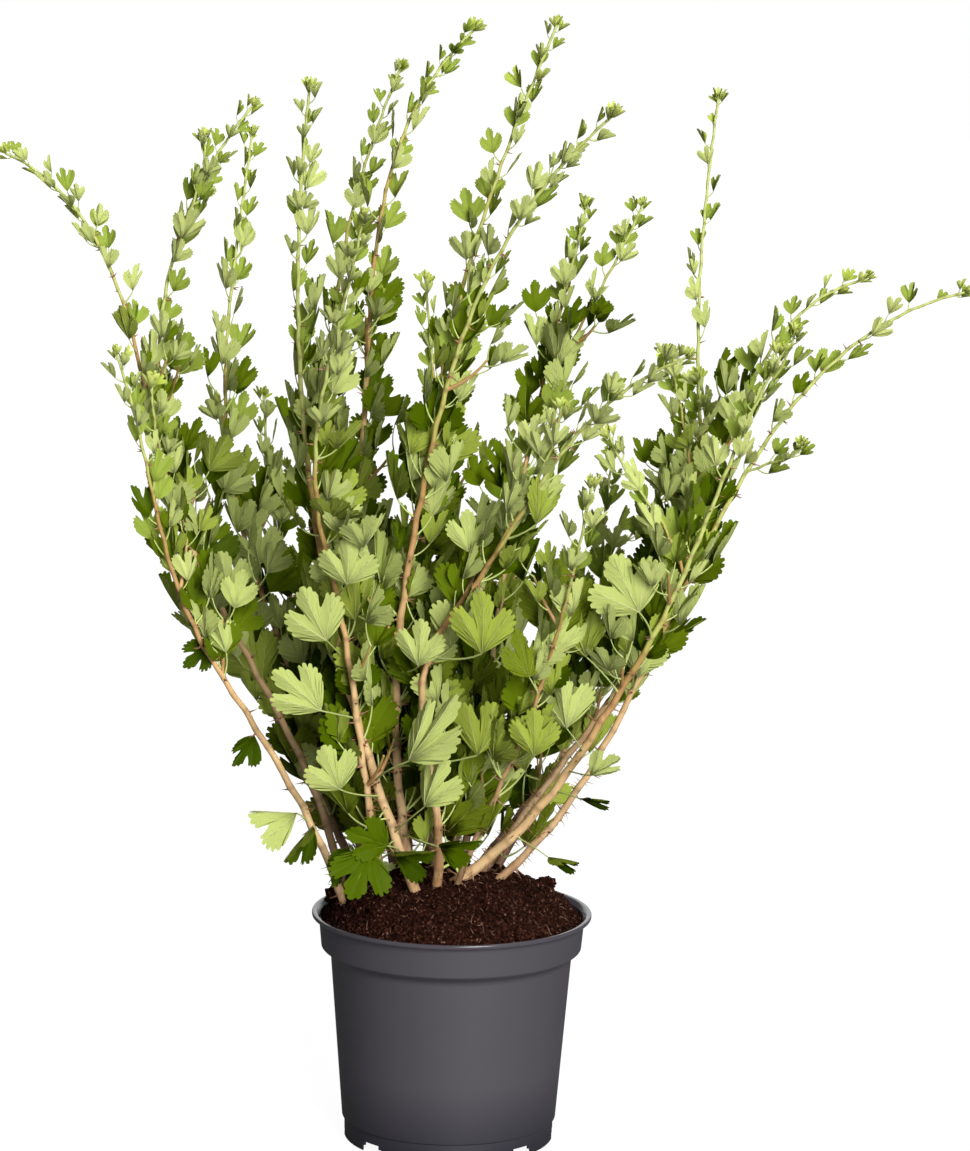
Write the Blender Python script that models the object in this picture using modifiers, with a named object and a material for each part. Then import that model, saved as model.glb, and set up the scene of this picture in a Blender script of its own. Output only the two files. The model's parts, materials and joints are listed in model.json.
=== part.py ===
"""Gooseberry bush in a round nursery pot, about 0.88 m high and 0.75 m wide.

Thorny canes rise from one clump in the peat and fan out. Each cane is bare wood at
its foot and leafy above, and every leafy length is a mass of its own. Units are
metres, +Z is up and -Y is the front. The origin is on the pot's axis, at the level
it stands on.
"""

import math
import random

import bmesh
import bpy
from mathutils import Matrix, Vector
from mathutils.bvhtree import BVHTree

# Clearance between solids that touch on the real plant
GAP = 0.0003

# How close two points of a curve's mesh are made one, which closes its caps
CURVE_WELD = 0.00005

# Pot: a thin injection-moulded shell, turned about Z
POT_HEIGHT = 0.181
RIM_RADIUS = 0.110
RIM_BAND = 0.0032
COLLAR_TOP_RADIUS = 0.1045
COLLAR_LOW_RADIUS = 0.1020
COLLAR_LOW_Z = 0.1555
SHOULDER_RADIUS = 0.0945
SHOULDER_Z = 0.144
STEP_Z = 0.1365
STEP_DEPTH = 0.0006
BODY_LOW_RADIUS = 0.0845
SKIRT_HEIGHT = 0.0165
SKIRT_INSET = 0.0012
FOOT_RADIUS = 0.0826
WALL = 0.0017
FLOOR_Z = 0.0092
PAD_RADIUS = 0.025
PAD_SLOPE = 0.006
PAD_THICKNESS = 0.002
EDGE_ROUND = 0.0006
COLLAR_CURVE_IN = 0.0025
COLLAR_CURVE_DOWN = 0.006
POT_STEPS = 36

# Drain notches in the skirt, and drain holes in the floor behind them
NOTCHES = 8
FIRST_NOTCH_DEG = 46.0
NOTCH_WIDTH = 0.022
NOTCH_HEIGHT = 0.0078
NOTCH_DEPTH = 0.012
DRAIN_RADIUS = 0.005
DRAIN_RING = 0.066

# Peat, heaped above the rim inside the pot
SOIL_RADIUS = 0.1012
SOIL_EDGE_Z = 0.1752
SOIL_RISE = 0.0335
SOIL_POWER = 3.5
SOIL_LOW_RADIUS = 0.0806

# Canes: wood thickness, and how firmly each third follows the leans given below
CANE_RADIUS = 0.0046
CANE_TIP_RADIUS = 0.0009
FOOT_FLARE = 0.30
FOOT_FLARE_LENGTH = 0.035
HANDLE = 0.36
ROUTE_STEPS = 40
UNDER_PEAT = 0.02
BARE_STEP = 0.036
LEAFY_STEP = 0.036

# One row for each cane: foot x, y and sideways lean in degrees, then x, y, z and lean
# at its middle bend, then at its tip, then the bare share and the thickness
CANES = {
    "far_left": ((-0.086, 0.020, -10), (-0.240, 0.025, 0.560, -11), (-0.357, 0.030, 0.767, -69), 0.33, 1.0),
    "outer_left": ((-0.082, -0.030, -18), (-0.180, -0.060, 0.380, -32), (-0.255, -0.100, 0.627, -19), 0.44, 1.0),
    "left_high": ((-0.074, 0.040, -22), (-0.218, 0.088, 0.467, -20), (-0.168, 0.140, 0.806, 40), 0.20, 1.0),
    "left_thin": ((-0.064, 0.064, -22), (-0.162, 0.107, 0.424, -21), (-0.176, 0.220, 0.782, 6), 0.18, 0.8),
    "left_front": ((-0.028, -0.042, -20), (-0.103, -0.072, 0.474, -9), (-0.111, -0.130, 0.826, 6), 0.08, 1.1),
    "curl": ((-0.052, -0.030, -12), (-0.096, -0.105, 0.474, -14), (-0.068, -0.210, 0.737, 10), 0.14, 0.8),
    "tall_left": ((-0.046, 0.044, -12), (-0.092, 0.110, 0.443, -10), (-0.054, 0.240, 0.838, 22), 0.14, 0.9),
    "tall_mid": ((-0.036, 0.026, 0), (-0.081, 0.085, 0.506, 6), (0.010, 0.130, 0.870, 48), 0.12, 1.0),
    "tallest": ((-0.013, 0.034, -14), (-0.025, 0.039, 0.508, 4), (0.071, 0.050, 0.874, 22), 0.12, 1.0),
    "mid_front": ((-0.032, -0.012, -10), (-0.030, -0.080, 0.504, 10), (0.111, -0.170, 0.810, 49), 0.08, 1.1),
    "mid_back": ((-0.006, 0.056, 22), (0.035, 0.100, 0.419, 9), (0.101, 0.200, 0.729, 14), 0.10, 0.9),
    "bent": ((-0.012, -0.032, 8), (-0.002, -0.107, 0.435, 36), (0.165, -0.210, 0.640, 66), 0.12, 1.0),
    "tall_right": ((0.020, 0.042, 38), (0.194, 0.135, 0.543, -4), (0.206, 0.210, 0.819, 7), 0.26, 0.9),
    "right_spray": ((0.024, 0.018, 34), (0.194, 0.073, 0.485, 17), (0.326, 0.120, 0.675, 80), 0.24, 0.9),
    "right_front": ((0.004, -0.016, 52), (0.135, -0.069, 0.387, 29), (0.239, -0.120, 0.639, 27), 0.40, 1.15),
    "far_right": ((0.036, -0.006, 48), (0.163, -0.004, 0.414, 25), (0.388, -0.010, 0.675, 78), 0.30, 1.0),
    "short_left": ((-0.060, 0.012, -20), (-0.121, 0.136, 0.355, -21), (-0.166, 0.230, 0.565, -5), 0.15, 0.8),
    "inner": ((-0.022, 0.074, 0), (-0.006, 0.140, 0.388, -4), (-0.033, 0.250, 0.663, -6), 0.14, 0.8),
    "short_right": ((0.010, -0.048, 18), (0.064, -0.093, 0.375, 15), (0.098, -0.170, 0.545, 8), 0.12, 0.8),
    "back_left": ((-0.042, 0.078, -14), (-0.080, 0.170, 0.330, -10), (-0.105, 0.275, 0.540, -12), 0.16, 0.8),
    "back_mid": ((0.006, 0.078, 8), (0.040, 0.170, 0.330, 6), (0.050, 0.280, 0.560, 4), 0.16, 0.8),
    "back_right": ((0.034, 0.058, 30), (0.105, 0.150, 0.330, 16), (0.130, 0.255, 0.520, 14), 0.22, 0.8),
}

# Leaves: length with the stalk, at the foot and at the tip of a cane, and at its very end
LEAF_LENGTH_LOW = 0.104
LEAF_LENGTH_TIP = 0.024
END_LEAF_LENGTH = 0.020
STALK_SHARE = 0.34
LEAF_SPACING = 0.60
LEAF_TURN_DEG = 144.0
LEAF_ANGLE_LOW_DEG = 82.0
LEAF_ANGLE_TIP_DEG = 30.0
LEAF_MIDDLE = 0.56
LEAF_KEEL = 0.26
LEAF_KEEL_DEPTH = 0.036
LEAF_FOLD = 0.16
LARGE_LEAF = 0.070
SMALL_LEAF = 0.038
LEAF_CLEARANCE = 0.0012
SIZE_CHANGE = 0.12
SPREAD_CHANGE = 0.14
TURNS_ASIDE = (0.0, 0.6, -0.6, 1.3, -1.3)

# Side twigs, each with a leaf at its tip and one on each side
TWIG_EVERY = 0.16
TWIG_LENGTH = 0.042
TWIG_SPREAD_DEG = 52.0
TWIG_RADIUS = 0.0016
TWIG_LIFT = 0.25
TWIGS_UNTIL = 0.55
TWIG_LEAF_SHARE = 0.86

SEED = 11


def clear_scene():
    for item in list(bpy.data.objects):
        bpy.data.objects.remove(item, do_unlink=True)


def new_collection(name):
    collection = bpy.data.collections.new(name)
    bpy.context.scene.collection.children.link(collection)
    return collection


def new_material(name, colour, roughness):
    material = bpy.data.materials.new(name)
    material.use_nodes = True
    shader = material.node_tree.nodes["Principled BSDF"]
    shader.inputs["Base Color"].default_value = (*colour, 1.0)
    shader.inputs["Roughness"].default_value = roughness
    shader.inputs["Metallic"].default_value = 0.0
    material.diffuse_color = (*colour, 1.0)
    return material


def new_object(name, mesh, collection, material=None):
    item = bpy.data.objects.new(name, mesh)
    collection.objects.link(item)
    if material is not None:
        mesh.materials.append(material)
    return item


def turned(name, profile, steps, collection, material):
    """A profile of (radius, height) pairs turned about Z, with both ends on the axis."""
    mesh = bpy.data.meshes.new(name)
    points = [(radius, 0.0, height) for radius, height in profile]
    mesh.from_pydata(points, [(i, i + 1) for i in range(len(points) - 1)], [])
    item = new_object(name, mesh, collection, material)
    screw = item.modifiers.new("Turn", "SCREW")
    screw.steps = screw.render_steps = steps
    screw.use_merge_vertices = True
    screw.merge_threshold = 0.00005
    return item


def made_mesh(item, weld=0.0):
    """The object with its modifiers or curve turned into a plain mesh, welded if asked."""
    graph = bpy.context.evaluated_depsgraph_get()
    mesh = bpy.data.meshes.new_from_object(item.evaluated_get(graph))
    if weld > 0.0:
        shape = bmesh.new()
        shape.from_mesh(mesh)
        bmesh.ops.remove_doubles(shape, verts=shape.verts, dist=weld)
        shape.to_mesh(mesh)
        shape.free()
    name = item.name
    matrix = item.matrix_world.copy()
    collection = item.users_collection[0]
    bpy.data.objects.remove(item, do_unlink=True)
    plain = new_object(name, mesh, collection)
    plain.matrix_world = matrix
    return plain


# Pot


def pot_profile():
    """From the inside of the floor up the inner wall, over the rim and down the outside."""
    band_low = POT_HEIGHT - RIM_BAND
    inside = [
        (0.0, PAD_THICKNESS),
        (PAD_RADIUS - 0.5 * WALL, PAD_THICKNESS),
        (PAD_RADIUS + PAD_SLOPE - 0.5 * WALL, FLOOR_Z + WALL),
        (FOOT_RADIUS - WALL, FLOOR_Z + WALL),
        (BODY_LOW_RADIUS - WALL, SKIRT_HEIGHT + WALL),
        (SHOULDER_RADIUS - WALL, SHOULDER_Z + EDGE_ROUND),
        (COLLAR_LOW_RADIUS - WALL, COLLAR_LOW_Z + EDGE_ROUND),
        (COLLAR_TOP_RADIUS - WALL, band_low),
        (COLLAR_TOP_RADIUS, POT_HEIGHT),
    ]
    outside = [
        (RIM_RADIUS - EDGE_ROUND, POT_HEIGHT),
        (RIM_RADIUS, POT_HEIGHT - EDGE_ROUND),
        (RIM_RADIUS, band_low),
        (COLLAR_TOP_RADIUS, band_low - EDGE_ROUND),
        (COLLAR_LOW_RADIUS, COLLAR_LOW_Z),
        (COLLAR_LOW_RADIUS - COLLAR_CURVE_IN, COLLAR_LOW_Z - COLLAR_CURVE_DOWN),
        (SHOULDER_RADIUS + 2.0 * EDGE_ROUND, SHOULDER_Z + 2.0 * EDGE_ROUND),
        (SHOULDER_RADIUS, SHOULDER_Z),
        (SHOULDER_RADIUS - STEP_DEPTH, STEP_Z),
        (SHOULDER_RADIUS - 2.0 * STEP_DEPTH, STEP_Z - STEP_DEPTH),
        (BODY_LOW_RADIUS, SKIRT_HEIGHT),
        (BODY_LOW_RADIUS - SKIRT_INSET, SKIRT_HEIGHT - EDGE_ROUND),
        (FOOT_RADIUS, 0.0),
        (FOOT_RADIUS - WALL, 0.0),
        (FOOT_RADIUS - WALL, FLOOR_Z),
        (PAD_RADIUS + PAD_SLOPE, FLOOR_Z),
        (PAD_RADIUS, 0.0),
        (0.0, 0.0),
    ]
    return inside + outside


def cut(item, cutter, name):
    boolean = item.modifiers.new(name, "BOOLEAN")
    boolean.operation = "DIFFERENCE"
    boolean.object = cutter
    boolean.solver = "EXACT"
    cutter.hide_render = True
    cutter.display_type = "WIRE"


def drain_cutters(cutters):
    """One joined cutter: a radial block for each notch and a pin for each drain hole."""
    shape = bmesh.new()
    for index in range(NOTCHES):
        turn = Matrix.Rotation(math.radians(-FIRST_NOTCH_DEG - 360.0 / NOTCHES * index), 4, "Z")
        block = bmesh.ops.create_cube(shape, size=1.0)["verts"]
        size = Matrix.Diagonal((NOTCH_WIDTH, NOTCH_DEPTH, 2.0 * NOTCH_HEIGHT, 1.0))
        place = Matrix.Translation((0.0, -FOOT_RADIUS, 0.0))
        bmesh.ops.transform(shape, matrix=turn @ place @ size, verts=block)
        pin = bmesh.ops.create_cone(shape, cap_ends=True, segments=8, radius1=DRAIN_RADIUS,
                                    radius2=DRAIN_RADIUS, depth=4.0 * WALL)["verts"]
        spot = Matrix.Translation((0.0, -DRAIN_RING, FLOOR_Z + 0.5 * WALL))
        bmesh.ops.transform(shape, matrix=turn @ spot, verts=pin)
    mesh = bpy.data.meshes.new("drain_cutters")
    shape.to_mesh(mesh)
    shape.free()
    return new_object("drain_cutters", mesh, cutters)


def build_pot(parts, cutters, plastic):
    pot = turned("pot", pot_profile(), POT_STEPS, parts, plastic)
    cut(pot, drain_cutters(cutters), "Drain notches")
    pot.data.shade_smooth()
    return pot


# Peat


def soil_height(x, y):
    share = min(math.hypot(x, y) / SOIL_RADIUS, 1.0)
    return SOIL_EDGE_Z + SOIL_RISE * (1.0 - share ** SOIL_POWER)


def build_soil(parts, peat):
    """A plug that fills the pot 0.3 mm clear of its wall and heaps up to the canes."""
    rings = [SOIL_RADIUS * share for share in (0.0, 0.3, 0.52, 0.7, 0.84, 0.94)]
    profile = [(radius, soil_height(radius, 0.0)) for radius in rings]
    profile += [
        (SOIL_RADIUS, SOIL_EDGE_Z),
        (COLLAR_LOW_RADIUS - WALL - 2.0 * GAP, COLLAR_LOW_Z),
        (SHOULDER_RADIUS - WALL - 2.0 * GAP, SHOULDER_Z),
        (SOIL_LOW_RADIUS, FLOOR_Z + 2.0 * WALL),
        (SOIL_LOW_RADIUS - WALL, FLOOR_Z + WALL + GAP),
        (0.0, FLOOR_Z + WALL + GAP),
    ]
    soil = turned("soil", profile, POT_STEPS, parts, peat)
    soil.data.shade_smooth()
    return soil


# Canes


def bezier(start, start_way, end, end_way, share):
    """A point between two stations that leaves and arrives along the given ways."""
    reach = (end - start).length * HANDLE
    first = start + start_way * reach
    second = end - end_way * reach
    rest = 1.0 - share
    return (start * rest ** 3 + first * (3.0 * rest * rest * share)
            + second * (3.0 * rest * share * share) + end * share ** 3)


def cane_route(row):
    """Closely spaced points from the foot, just under the peat, to the tip."""
    foot, bend, tip = row[:3]
    root = Vector((foot[0], foot[1], soil_height(foot[0], foot[1])))
    stations = [root, Vector(bend[:3]), Vector(tip[:3])]
    length = (stations[1] - stations[0]).length + (stations[2] - stations[1]).length
    drift = (tip[1] - foot[1]) / length
    ways = [Vector((math.sin(math.radians(lean)), drift, math.cos(math.radians(lean))))
            for lean in (foot[2], bend[3], tip[3])]
    route = []
    for index in (0, 1):
        for step in range(ROUTE_STEPS + index):
            route.append(bezier(stations[index], ways[index], stations[index + 1],
                                ways[index + 1], step / ROUTE_STEPS))
    return route


def walk(route, start, end, step):
    """Evenly spaced (point, way, share of the length) triples between two shares."""
    lengths = [0.0]
    for first, second in zip(route, route[1:]):
        lengths.append(lengths[-1] + (second - first).length)
    whole = lengths[-1]
    count = max(2, round((end - start) * whole / step) + 1)
    places = []
    for number in range(count):
        share = start + (end - start) * number / (count - 1)
        places.append(place_at(route, lengths, share))
    return places


def place_at(route, lengths, share):
    target = share * lengths[-1]
    index = 0
    while index < len(lengths) - 2 and lengths[index + 1] < target:
        index += 1
    span = lengths[index + 1] - lengths[index]
    part = (target - lengths[index]) / span
    way = (route[index + 1] - route[index]).normalized()
    return route[index].lerp(route[index + 1], part), way, share


def cane_radius(share, length, thickness):
    flare = 1.0 + FOOT_FLARE * max(0.0, 1.0 - share * length / FOOT_FLARE_LENGTH)
    return (CANE_TIP_RADIUS + (CANE_RADIUS * thickness - CANE_TIP_RADIUS) * (1.0 - share)) * flare


def route_length(route):
    return sum((second - first).length for first, second in zip(route, route[1:]))


def peat_level(surface, foot, way, radius):
    """Height of the highest peat under the slanting section a cane makes at the ground."""
    along = Vector((way.x, way.y, 0.0)).normalized()
    across = Vector((-along.y, along.x, 0.0))
    level = foot.z
    for _ in range(4):
        middle = foot + way * ((level - foot.z) / way.z)
        heights = []
        for ring in (0.0, 0.5, 1.0):
            for step in range(24):
                turn = 2.0 * math.pi * step / 24
                spot = middle + along * (math.cos(turn) * ring * radius / way.z)
                spot = spot + across * (math.sin(turn) * ring * radius)
                hit = surface.ray_cast(Vector((spot.x, spot.y, 1.0)), Vector((0.0, 0.0, -1.0)))[0]
                heights.append(hit.z)
        level = max(heights)
    return level


def build_bare_cane(name, row, route, surface, parts, bark):
    """The leafless foot of a cane: a tapering tube, cut level where it leaves the peat."""
    length = route_length(route)
    places = walk(route, 0.0, row[3], BARE_STEP)
    under = places[0][0] - places[0][1] * UNDER_PEAT
    curve = bpy.data.curves.new(name, "CURVE")
    curve.dimensions = "3D"
    curve.bevel_depth = 1.0
    curve.bevel_resolution = 2
    curve.use_fill_caps = True
    spline = curve.splines.new("POLY")
    spline.points.add(len(places))
    rows = [(under, 0.0)] + [(point, share) for point, _, share in places]
    for knot, (point, share) in zip(spline.points, rows):
        knot.co = (*point, 1.0)
        knot.radius = cane_radius(share, length, row[4])
    item = bpy.data.objects.new(name, curve)
    parts.objects.link(item)
    cane = made_mesh(item, CURVE_WELD)
    cane.data.materials.clear()
    cane.data.materials.append(bark)
    level = peat_level(surface, route[0], places[0][1], cane_radius(0.0, length, row[4]))
    shape = bmesh.new()
    shape.from_mesh(cane.data)
    everything = shape.verts[:] + shape.edges[:] + shape.faces[:]
    sliced = bmesh.ops.bisect_plane(shape, geom=everything, plane_co=(0.0, 0.0, level + GAP),
                                    plane_no=(0.0, 0.0, 1.0), clear_inner=True)
    border = [edge for edge in sliced["geom_cut"] if isinstance(edge, bmesh.types.BMEdge)]
    bmesh.ops.edgeloop_fill(shape, edges=border)
    bmesh.ops.recalc_face_normals(shape, faces=shape.faces)
    shape.to_mesh(cane.data)
    shape.free()
    return cane


# Foliage


def side_of(way):
    """A fixed direction square to the way, from which the leaves' turns are counted."""
    side = way.cross(Vector((0.0, 1.0, 0.0)))
    return side.normalized()


def turned_side(way, turn):
    return Matrix.Rotation(turn, 3, way) @ side_of(way)


def twig_mesh(name, places, radii):
    """A three-sided twig, lofted because its sides taper to a point along a bent way."""
    shape = bmesh.new()
    rings = []
    for (point, way, _), radius in zip(places, radii):
        corners = [turned_side(way, math.radians(120.0 * corner)) * radius for corner in range(3)]
        rings.append([shape.verts.new(point + corner) for corner in corners])
    for low, high in zip(rings, rings[1:]):
        for corner in range(3):
            after = (corner + 1) % 3
            shape.faces.new((low[corner], low[after], high[after], high[corner]))
    shape.faces.new(rings[0][::-1])
    shape.faces.new(rings[-1])
    bmesh.ops.recalc_face_normals(shape, faces=shape.faces)
    bmesh.ops.triangulate(shape, faces=shape.faces)
    mesh = bpy.data.meshes.new(name)
    shape.to_mesh(mesh)
    shape.free()
    return mesh


def leaf_outline(length):
    """Half outline of a blade from its stalk to its tip: three lobes, or a plain lozenge."""
    stalk = STALK_SHARE
    blade = 1.0 - stalk
    if length > LARGE_LEAF:
        half = [(stalk + 0.02 * blade, 0.20 * blade), (stalk + 0.46 * blade, 0.56 * blade),
                (stalk + 0.60 * blade, 0.27 * blade)]
    elif length > SMALL_LEAF:
        half = [(stalk + 0.38 * blade, 0.58 * blade), (stalk + 0.66 * blade, 0.30 * blade)]
    else:
        half = [(stalk + 0.50 * blade, 0.50 * blade)]
    return half


def leaf_shape(root, along, top, length, spare):
    """Points and faces of a folded leaf whose upper side faces the stem, grown by a spare."""
    across = top.cross(along)
    size = length + spare
    swell = spare / length
    half = leaf_outline(length)

    def at(x, y, z):
        return root + (along * x + across * y + top * z) * size

    left = [at(x, y, LEAF_FOLD * y) for x, y in half]
    right = [at(x, -y, LEAF_FOLD * y) for x, y in half]
    outline = [root] + left + [at(1.0, 0.0, 0.0)] + right[::-1]
    count = len(outline)
    middle = at(LEAF_MIDDLE, 0.0, swell)
    keel = at(LEAF_KEEL, 0.0, -LEAF_KEEL_DEPTH - swell)
    faces = []
    for index in range(count):
        after = (index + 1) % count
        faces.append((count, index, after))
        faces.append((count + 1, after, index))
    return outline + [middle, keel], faces


def leaf_mesh(name, points, faces):
    mesh = bpy.data.meshes.new(name)
    mesh.from_pydata(points, [], faces)
    shape = bmesh.new()
    shape.from_mesh(mesh)
    bmesh.ops.recalc_face_normals(shape, faces=shape.faces)
    shape.to_mesh(mesh)
    shape.free()
    return mesh


class Space:
    """What already stands in the crown, so that no later leaf or twig runs into it."""

    def __init__(self):
        self.taken = []

    def add(self, owner, points, faces):
        low = Vector([min(point[axis] for point in points) for axis in range(3)])
        high = Vector([max(point[axis] for point in points) for axis in range(3)])
        tree = BVHTree.FromPolygons(points, faces)
        self.taken.append((owner, low, high, tree))
        return tree

    def add_object(self, owner, item):
        graph = bpy.context.evaluated_depsgraph_get()
        mesh = item.evaluated_get(graph).to_mesh()
        points = [item.matrix_world @ vertex.co for vertex in mesh.vertices]
        return self.add(owner, points, [tuple(face.vertices) for face in mesh.polygons])

    def blocked(self, points, faces, but=()):
        low = Vector([min(point[axis] for point in points) - LEAF_CLEARANCE for axis in range(3)])
        high = Vector([max(point[axis] for point in points) + LEAF_CLEARANCE for axis in range(3)])
        tree = BVHTree.FromPolygons(points, faces)
        for owner, other_low, other_high, other in self.taken:
            if owner in but:
                continue
            apart = any(low[axis] > other_high[axis] or high[axis] < other_low[axis] for axis in range(3))
            if not apart and tree.overlap(other):
                return True
        return False


def leaf_length(share):
    return LEAF_LENGTH_TIP + (LEAF_LENGTH_LOW - LEAF_LENGTH_TIP) * (1.0 - share)


def leaf_frame(point, way, turn, spread, radius):
    """Root, way and upper side of a leaf that stands off the stem at the given spread."""
    side = turned_side(way, turn)
    along = way * math.cos(spread) + side * math.sin(spread)
    top = way * math.sin(spread) - side * math.cos(spread)
    return point - along * radius * 0.6, along, top


class Foliage:
    """One mass: a leafy stem that goes on from a bare cane, its side twigs and leaves."""

    def __init__(self, name, row, route, space, chance):
        self.name = name
        self.row = row
        self.route = route
        self.length = route_length(route)
        self.space = space
        self.chance = chance
        self.shapes = []
        self.first_turn = chance.uniform(0.0, 2.0 * math.pi)
        self.last_share = 1.0 - 0.9 * END_LEAF_LENGTH / self.length
        self.build_stem()
        self.plan_leaves()

    def radius(self, share):
        return cane_radius(share, self.length, self.row[4])

    def build_stem(self):
        start = self.row[3] + GAP / self.length
        places = walk(self.route, start, self.last_share, LEAFY_STEP)
        mesh = twig_mesh(self.name + "_stem", places, [self.radius(share) for _, _, share in places])
        self.shapes.append(mesh)
        points = [vertex.co.copy() for vertex in mesh.vertices]
        self.space.add(self.name + "_stem", points, [tuple(face.vertices) for face in mesh.polygons])

    def plan_leaves(self):
        """Shares of the length at which a leaf or a side twig may grow, foot to tip."""
        self.spots = []
        share = self.row[3] + 0.02
        last_twig = share - TWIG_EVERY
        while share < self.last_share - 0.4 * END_LEAF_LENGTH / self.length:
            length = leaf_length(share)
            twig = share < TWIGS_UNTIL and share - last_twig > TWIG_EVERY
            self.spots.append((share, "twig" if twig else "leaf"))
            if twig:
                last_twig = share
            share += LEAF_SPACING * length / self.length
        self.spots.append((self.last_share - 0.001, "tip"))

    def place(self, share):
        lengths = [0.0]
        for first, second in zip(self.route, self.route[1:]):
            lengths.append(lengths[-1] + (second - first).length)
        return place_at(self.route, lengths, share)

    def spread(self, share):
        low = math.radians(LEAF_ANGLE_LOW_DEG)
        tip = math.radians(LEAF_ANGLE_TIP_DEG)
        return low + (tip - low) * share + self.chance.uniform(-SPREAD_CHANGE, SPREAD_CHANGE)

    def try_leaf(self, point, way, turn, spread, radius, length, own):
        root, along, top = leaf_frame(point, way, turn, spread, radius)
        points, faces = leaf_shape(root, along, top, length, 0.0)
        wide_points, _ = leaf_shape(root, along, top, length, LEAF_CLEARANCE)
        if self.space.blocked(wide_points, faces, but=own):
            return False
        self.space.add(self.name, points, faces)
        self.shapes.append(leaf_mesh(self.name, points, faces))
        return True

    def grow(self, number):
        """Grows the leaf or twig of this number, turned aside if its first place is taken."""
        if number >= len(self.spots):
            return
        share, kind = self.spots[number]
        point, way, _ = self.place(share)
        turn = self.first_turn + number * math.radians(LEAF_TURN_DEG)
        own = (self.name + "_stem",)
        length = leaf_length(share) * self.chance.uniform(1.0 - SIZE_CHANGE, 1.0 + SIZE_CHANGE)
        spread = self.spread(share)
        if kind == "tip":
            self.try_leaf(point, way, turn, 0.12, self.radius(share), END_LEAF_LENGTH, own)
            return
        for aside in TURNS_ASIDE:
            if kind == "twig":
                grown = self.try_twig(point, way, turn + aside, share, own)
            else:
                grown = self.try_leaf(point, way, turn + aside, spread, self.radius(share), length, own)
            if grown:
                return

    def try_twig(self, point, way, turn, share, own):
        spread = math.radians(TWIG_SPREAD_DEG)
        root, along, top = leaf_frame(point, way, turn, spread, self.radius(share))
        length = TWIG_LENGTH * self.chance.uniform(1.0 - SIZE_CHANGE, 1.0 + SIZE_CHANGE)
        lift = Vector((0.0, 0.0, TWIG_LIFT))
        middle = root + along * length * 0.5
        after = (along + lift).normalized()
        end = middle + after * length * 0.5
        places = [(root, along, 0.0), (middle, along, 0.5), (end, after, 1.0)]
        mesh = twig_mesh(self.name + "_twig", places, [TWIG_RADIUS, TWIG_RADIUS * 0.8, TWIG_RADIUS * 0.55])
        points = [vertex.co.copy() for vertex in mesh.vertices]
        faces = [tuple(face.vertices) for face in mesh.polygons]
        if self.space.blocked(points, faces, but=own):
            return False
        twig = self.name + "_twig_" + str(len(self.shapes))
        self.space.add(twig, points, faces)
        self.shapes.append(mesh)
        size = leaf_length(share) * TWIG_LEAF_SHARE
        allowed = own + (twig,)
        self.try_leaf(end, after, turn, 0.15, TWIG_RADIUS * 0.5, size, allowed)
        for spot, side in ((0.55, 1.7), (0.8, -1.7)):
            joint = root.lerp(end, spot)
            self.try_leaf(joint, along, turn + side, 0.95, TWIG_RADIUS * 0.7, size * 0.9, allowed)
        return True

    def joined(self, parts, leaf):
        """Fuses the stem, twigs and leaves into one closed solid."""
        loose = new_collection(self.name + "_loose")
        stem = new_object(self.name, self.shapes[0], parts, leaf)
        for index, mesh in enumerate(self.shapes[1:]):
            new_object(self.name + "_" + str(index), mesh, loose)
        union = stem.modifiers.new("Fuse", "BOOLEAN")
        union.operation = "UNION"
        union.operand_type = "COLLECTION"
        union.collection = loose
        union.solver = "MANIFOLD"
        fused = made_mesh(stem)
        fused.data.materials.clear()
        fused.data.materials.append(leaf)
        for item in list(loose.objects):
            bpy.data.objects.remove(item, do_unlink=True)
        bpy.data.collections.remove(loose)
        keep_largest(fused)
        return fused


def keep_largest(item):
    """Drops every loose scrap that the fusing left beside the main shape."""
    shape = bmesh.new()
    shape.from_mesh(item.data)
    left = set(shape.verts)
    groups = []
    while left:
        group = set()
        ahead = [left.pop()]
        while ahead:
            vertex = ahead.pop()
            group.add(vertex)
            for edge in vertex.link_edges:
                other = edge.other_vert(vertex)
                if other in left:
                    left.remove(other)
                    ahead.append(other)
        groups.append(group)
    groups.sort(key=len)
    for group in groups[:-1]:
        bmesh.ops.delete(shape, geom=list(group), context="VERTS")
    shape.to_mesh(item.data)
    shape.free()


def build_bush():
    clear_scene()
    parts = new_collection("gooseberry_bush")
    cutters = new_collection("cutters")
    plastic = new_material("pot_plastic", (0.060, 0.060, 0.066), 0.45)
    peat = new_material("peat", (0.026, 0.012, 0.009), 0.95)
    bark = new_material("bark", (0.48, 0.29, 0.15), 0.7)
    leaf = new_material("leaf", (0.22, 0.36, 0.09), 0.6)

    chance = random.Random(SEED)
    space = Space()
    pot = build_pot(parts, cutters, plastic)
    soil = build_soil(parts, peat)
    space.add_object("pot", pot)
    surface = space.add_object("soil", soil)
    masses = []
    for name, row in CANES.items():
        route = cane_route(row)
        cane = build_bare_cane("cane_" + name, row, route, surface, parts, bark)
        space.add_object("cane_" + name, cane)
        masses.append(Foliage("foliage_" + name, row, route, space, chance))
    for number in range(max(len(mass.spots) for mass in masses)):
        for mass in masses:
            mass.grow(number)
    for mass in masses:
        mass.joined(parts, leaf)


build_bush()
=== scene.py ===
"""Gooseberry bush in a nursery pot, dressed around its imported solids.

The sections follow the plant as it stands: pot, peat, canes, thorns, leaves and their stalks.
"""

import json
import math
import random

import bmesh
import bpy
from mathutils import Matrix, Vector, noise

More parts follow.
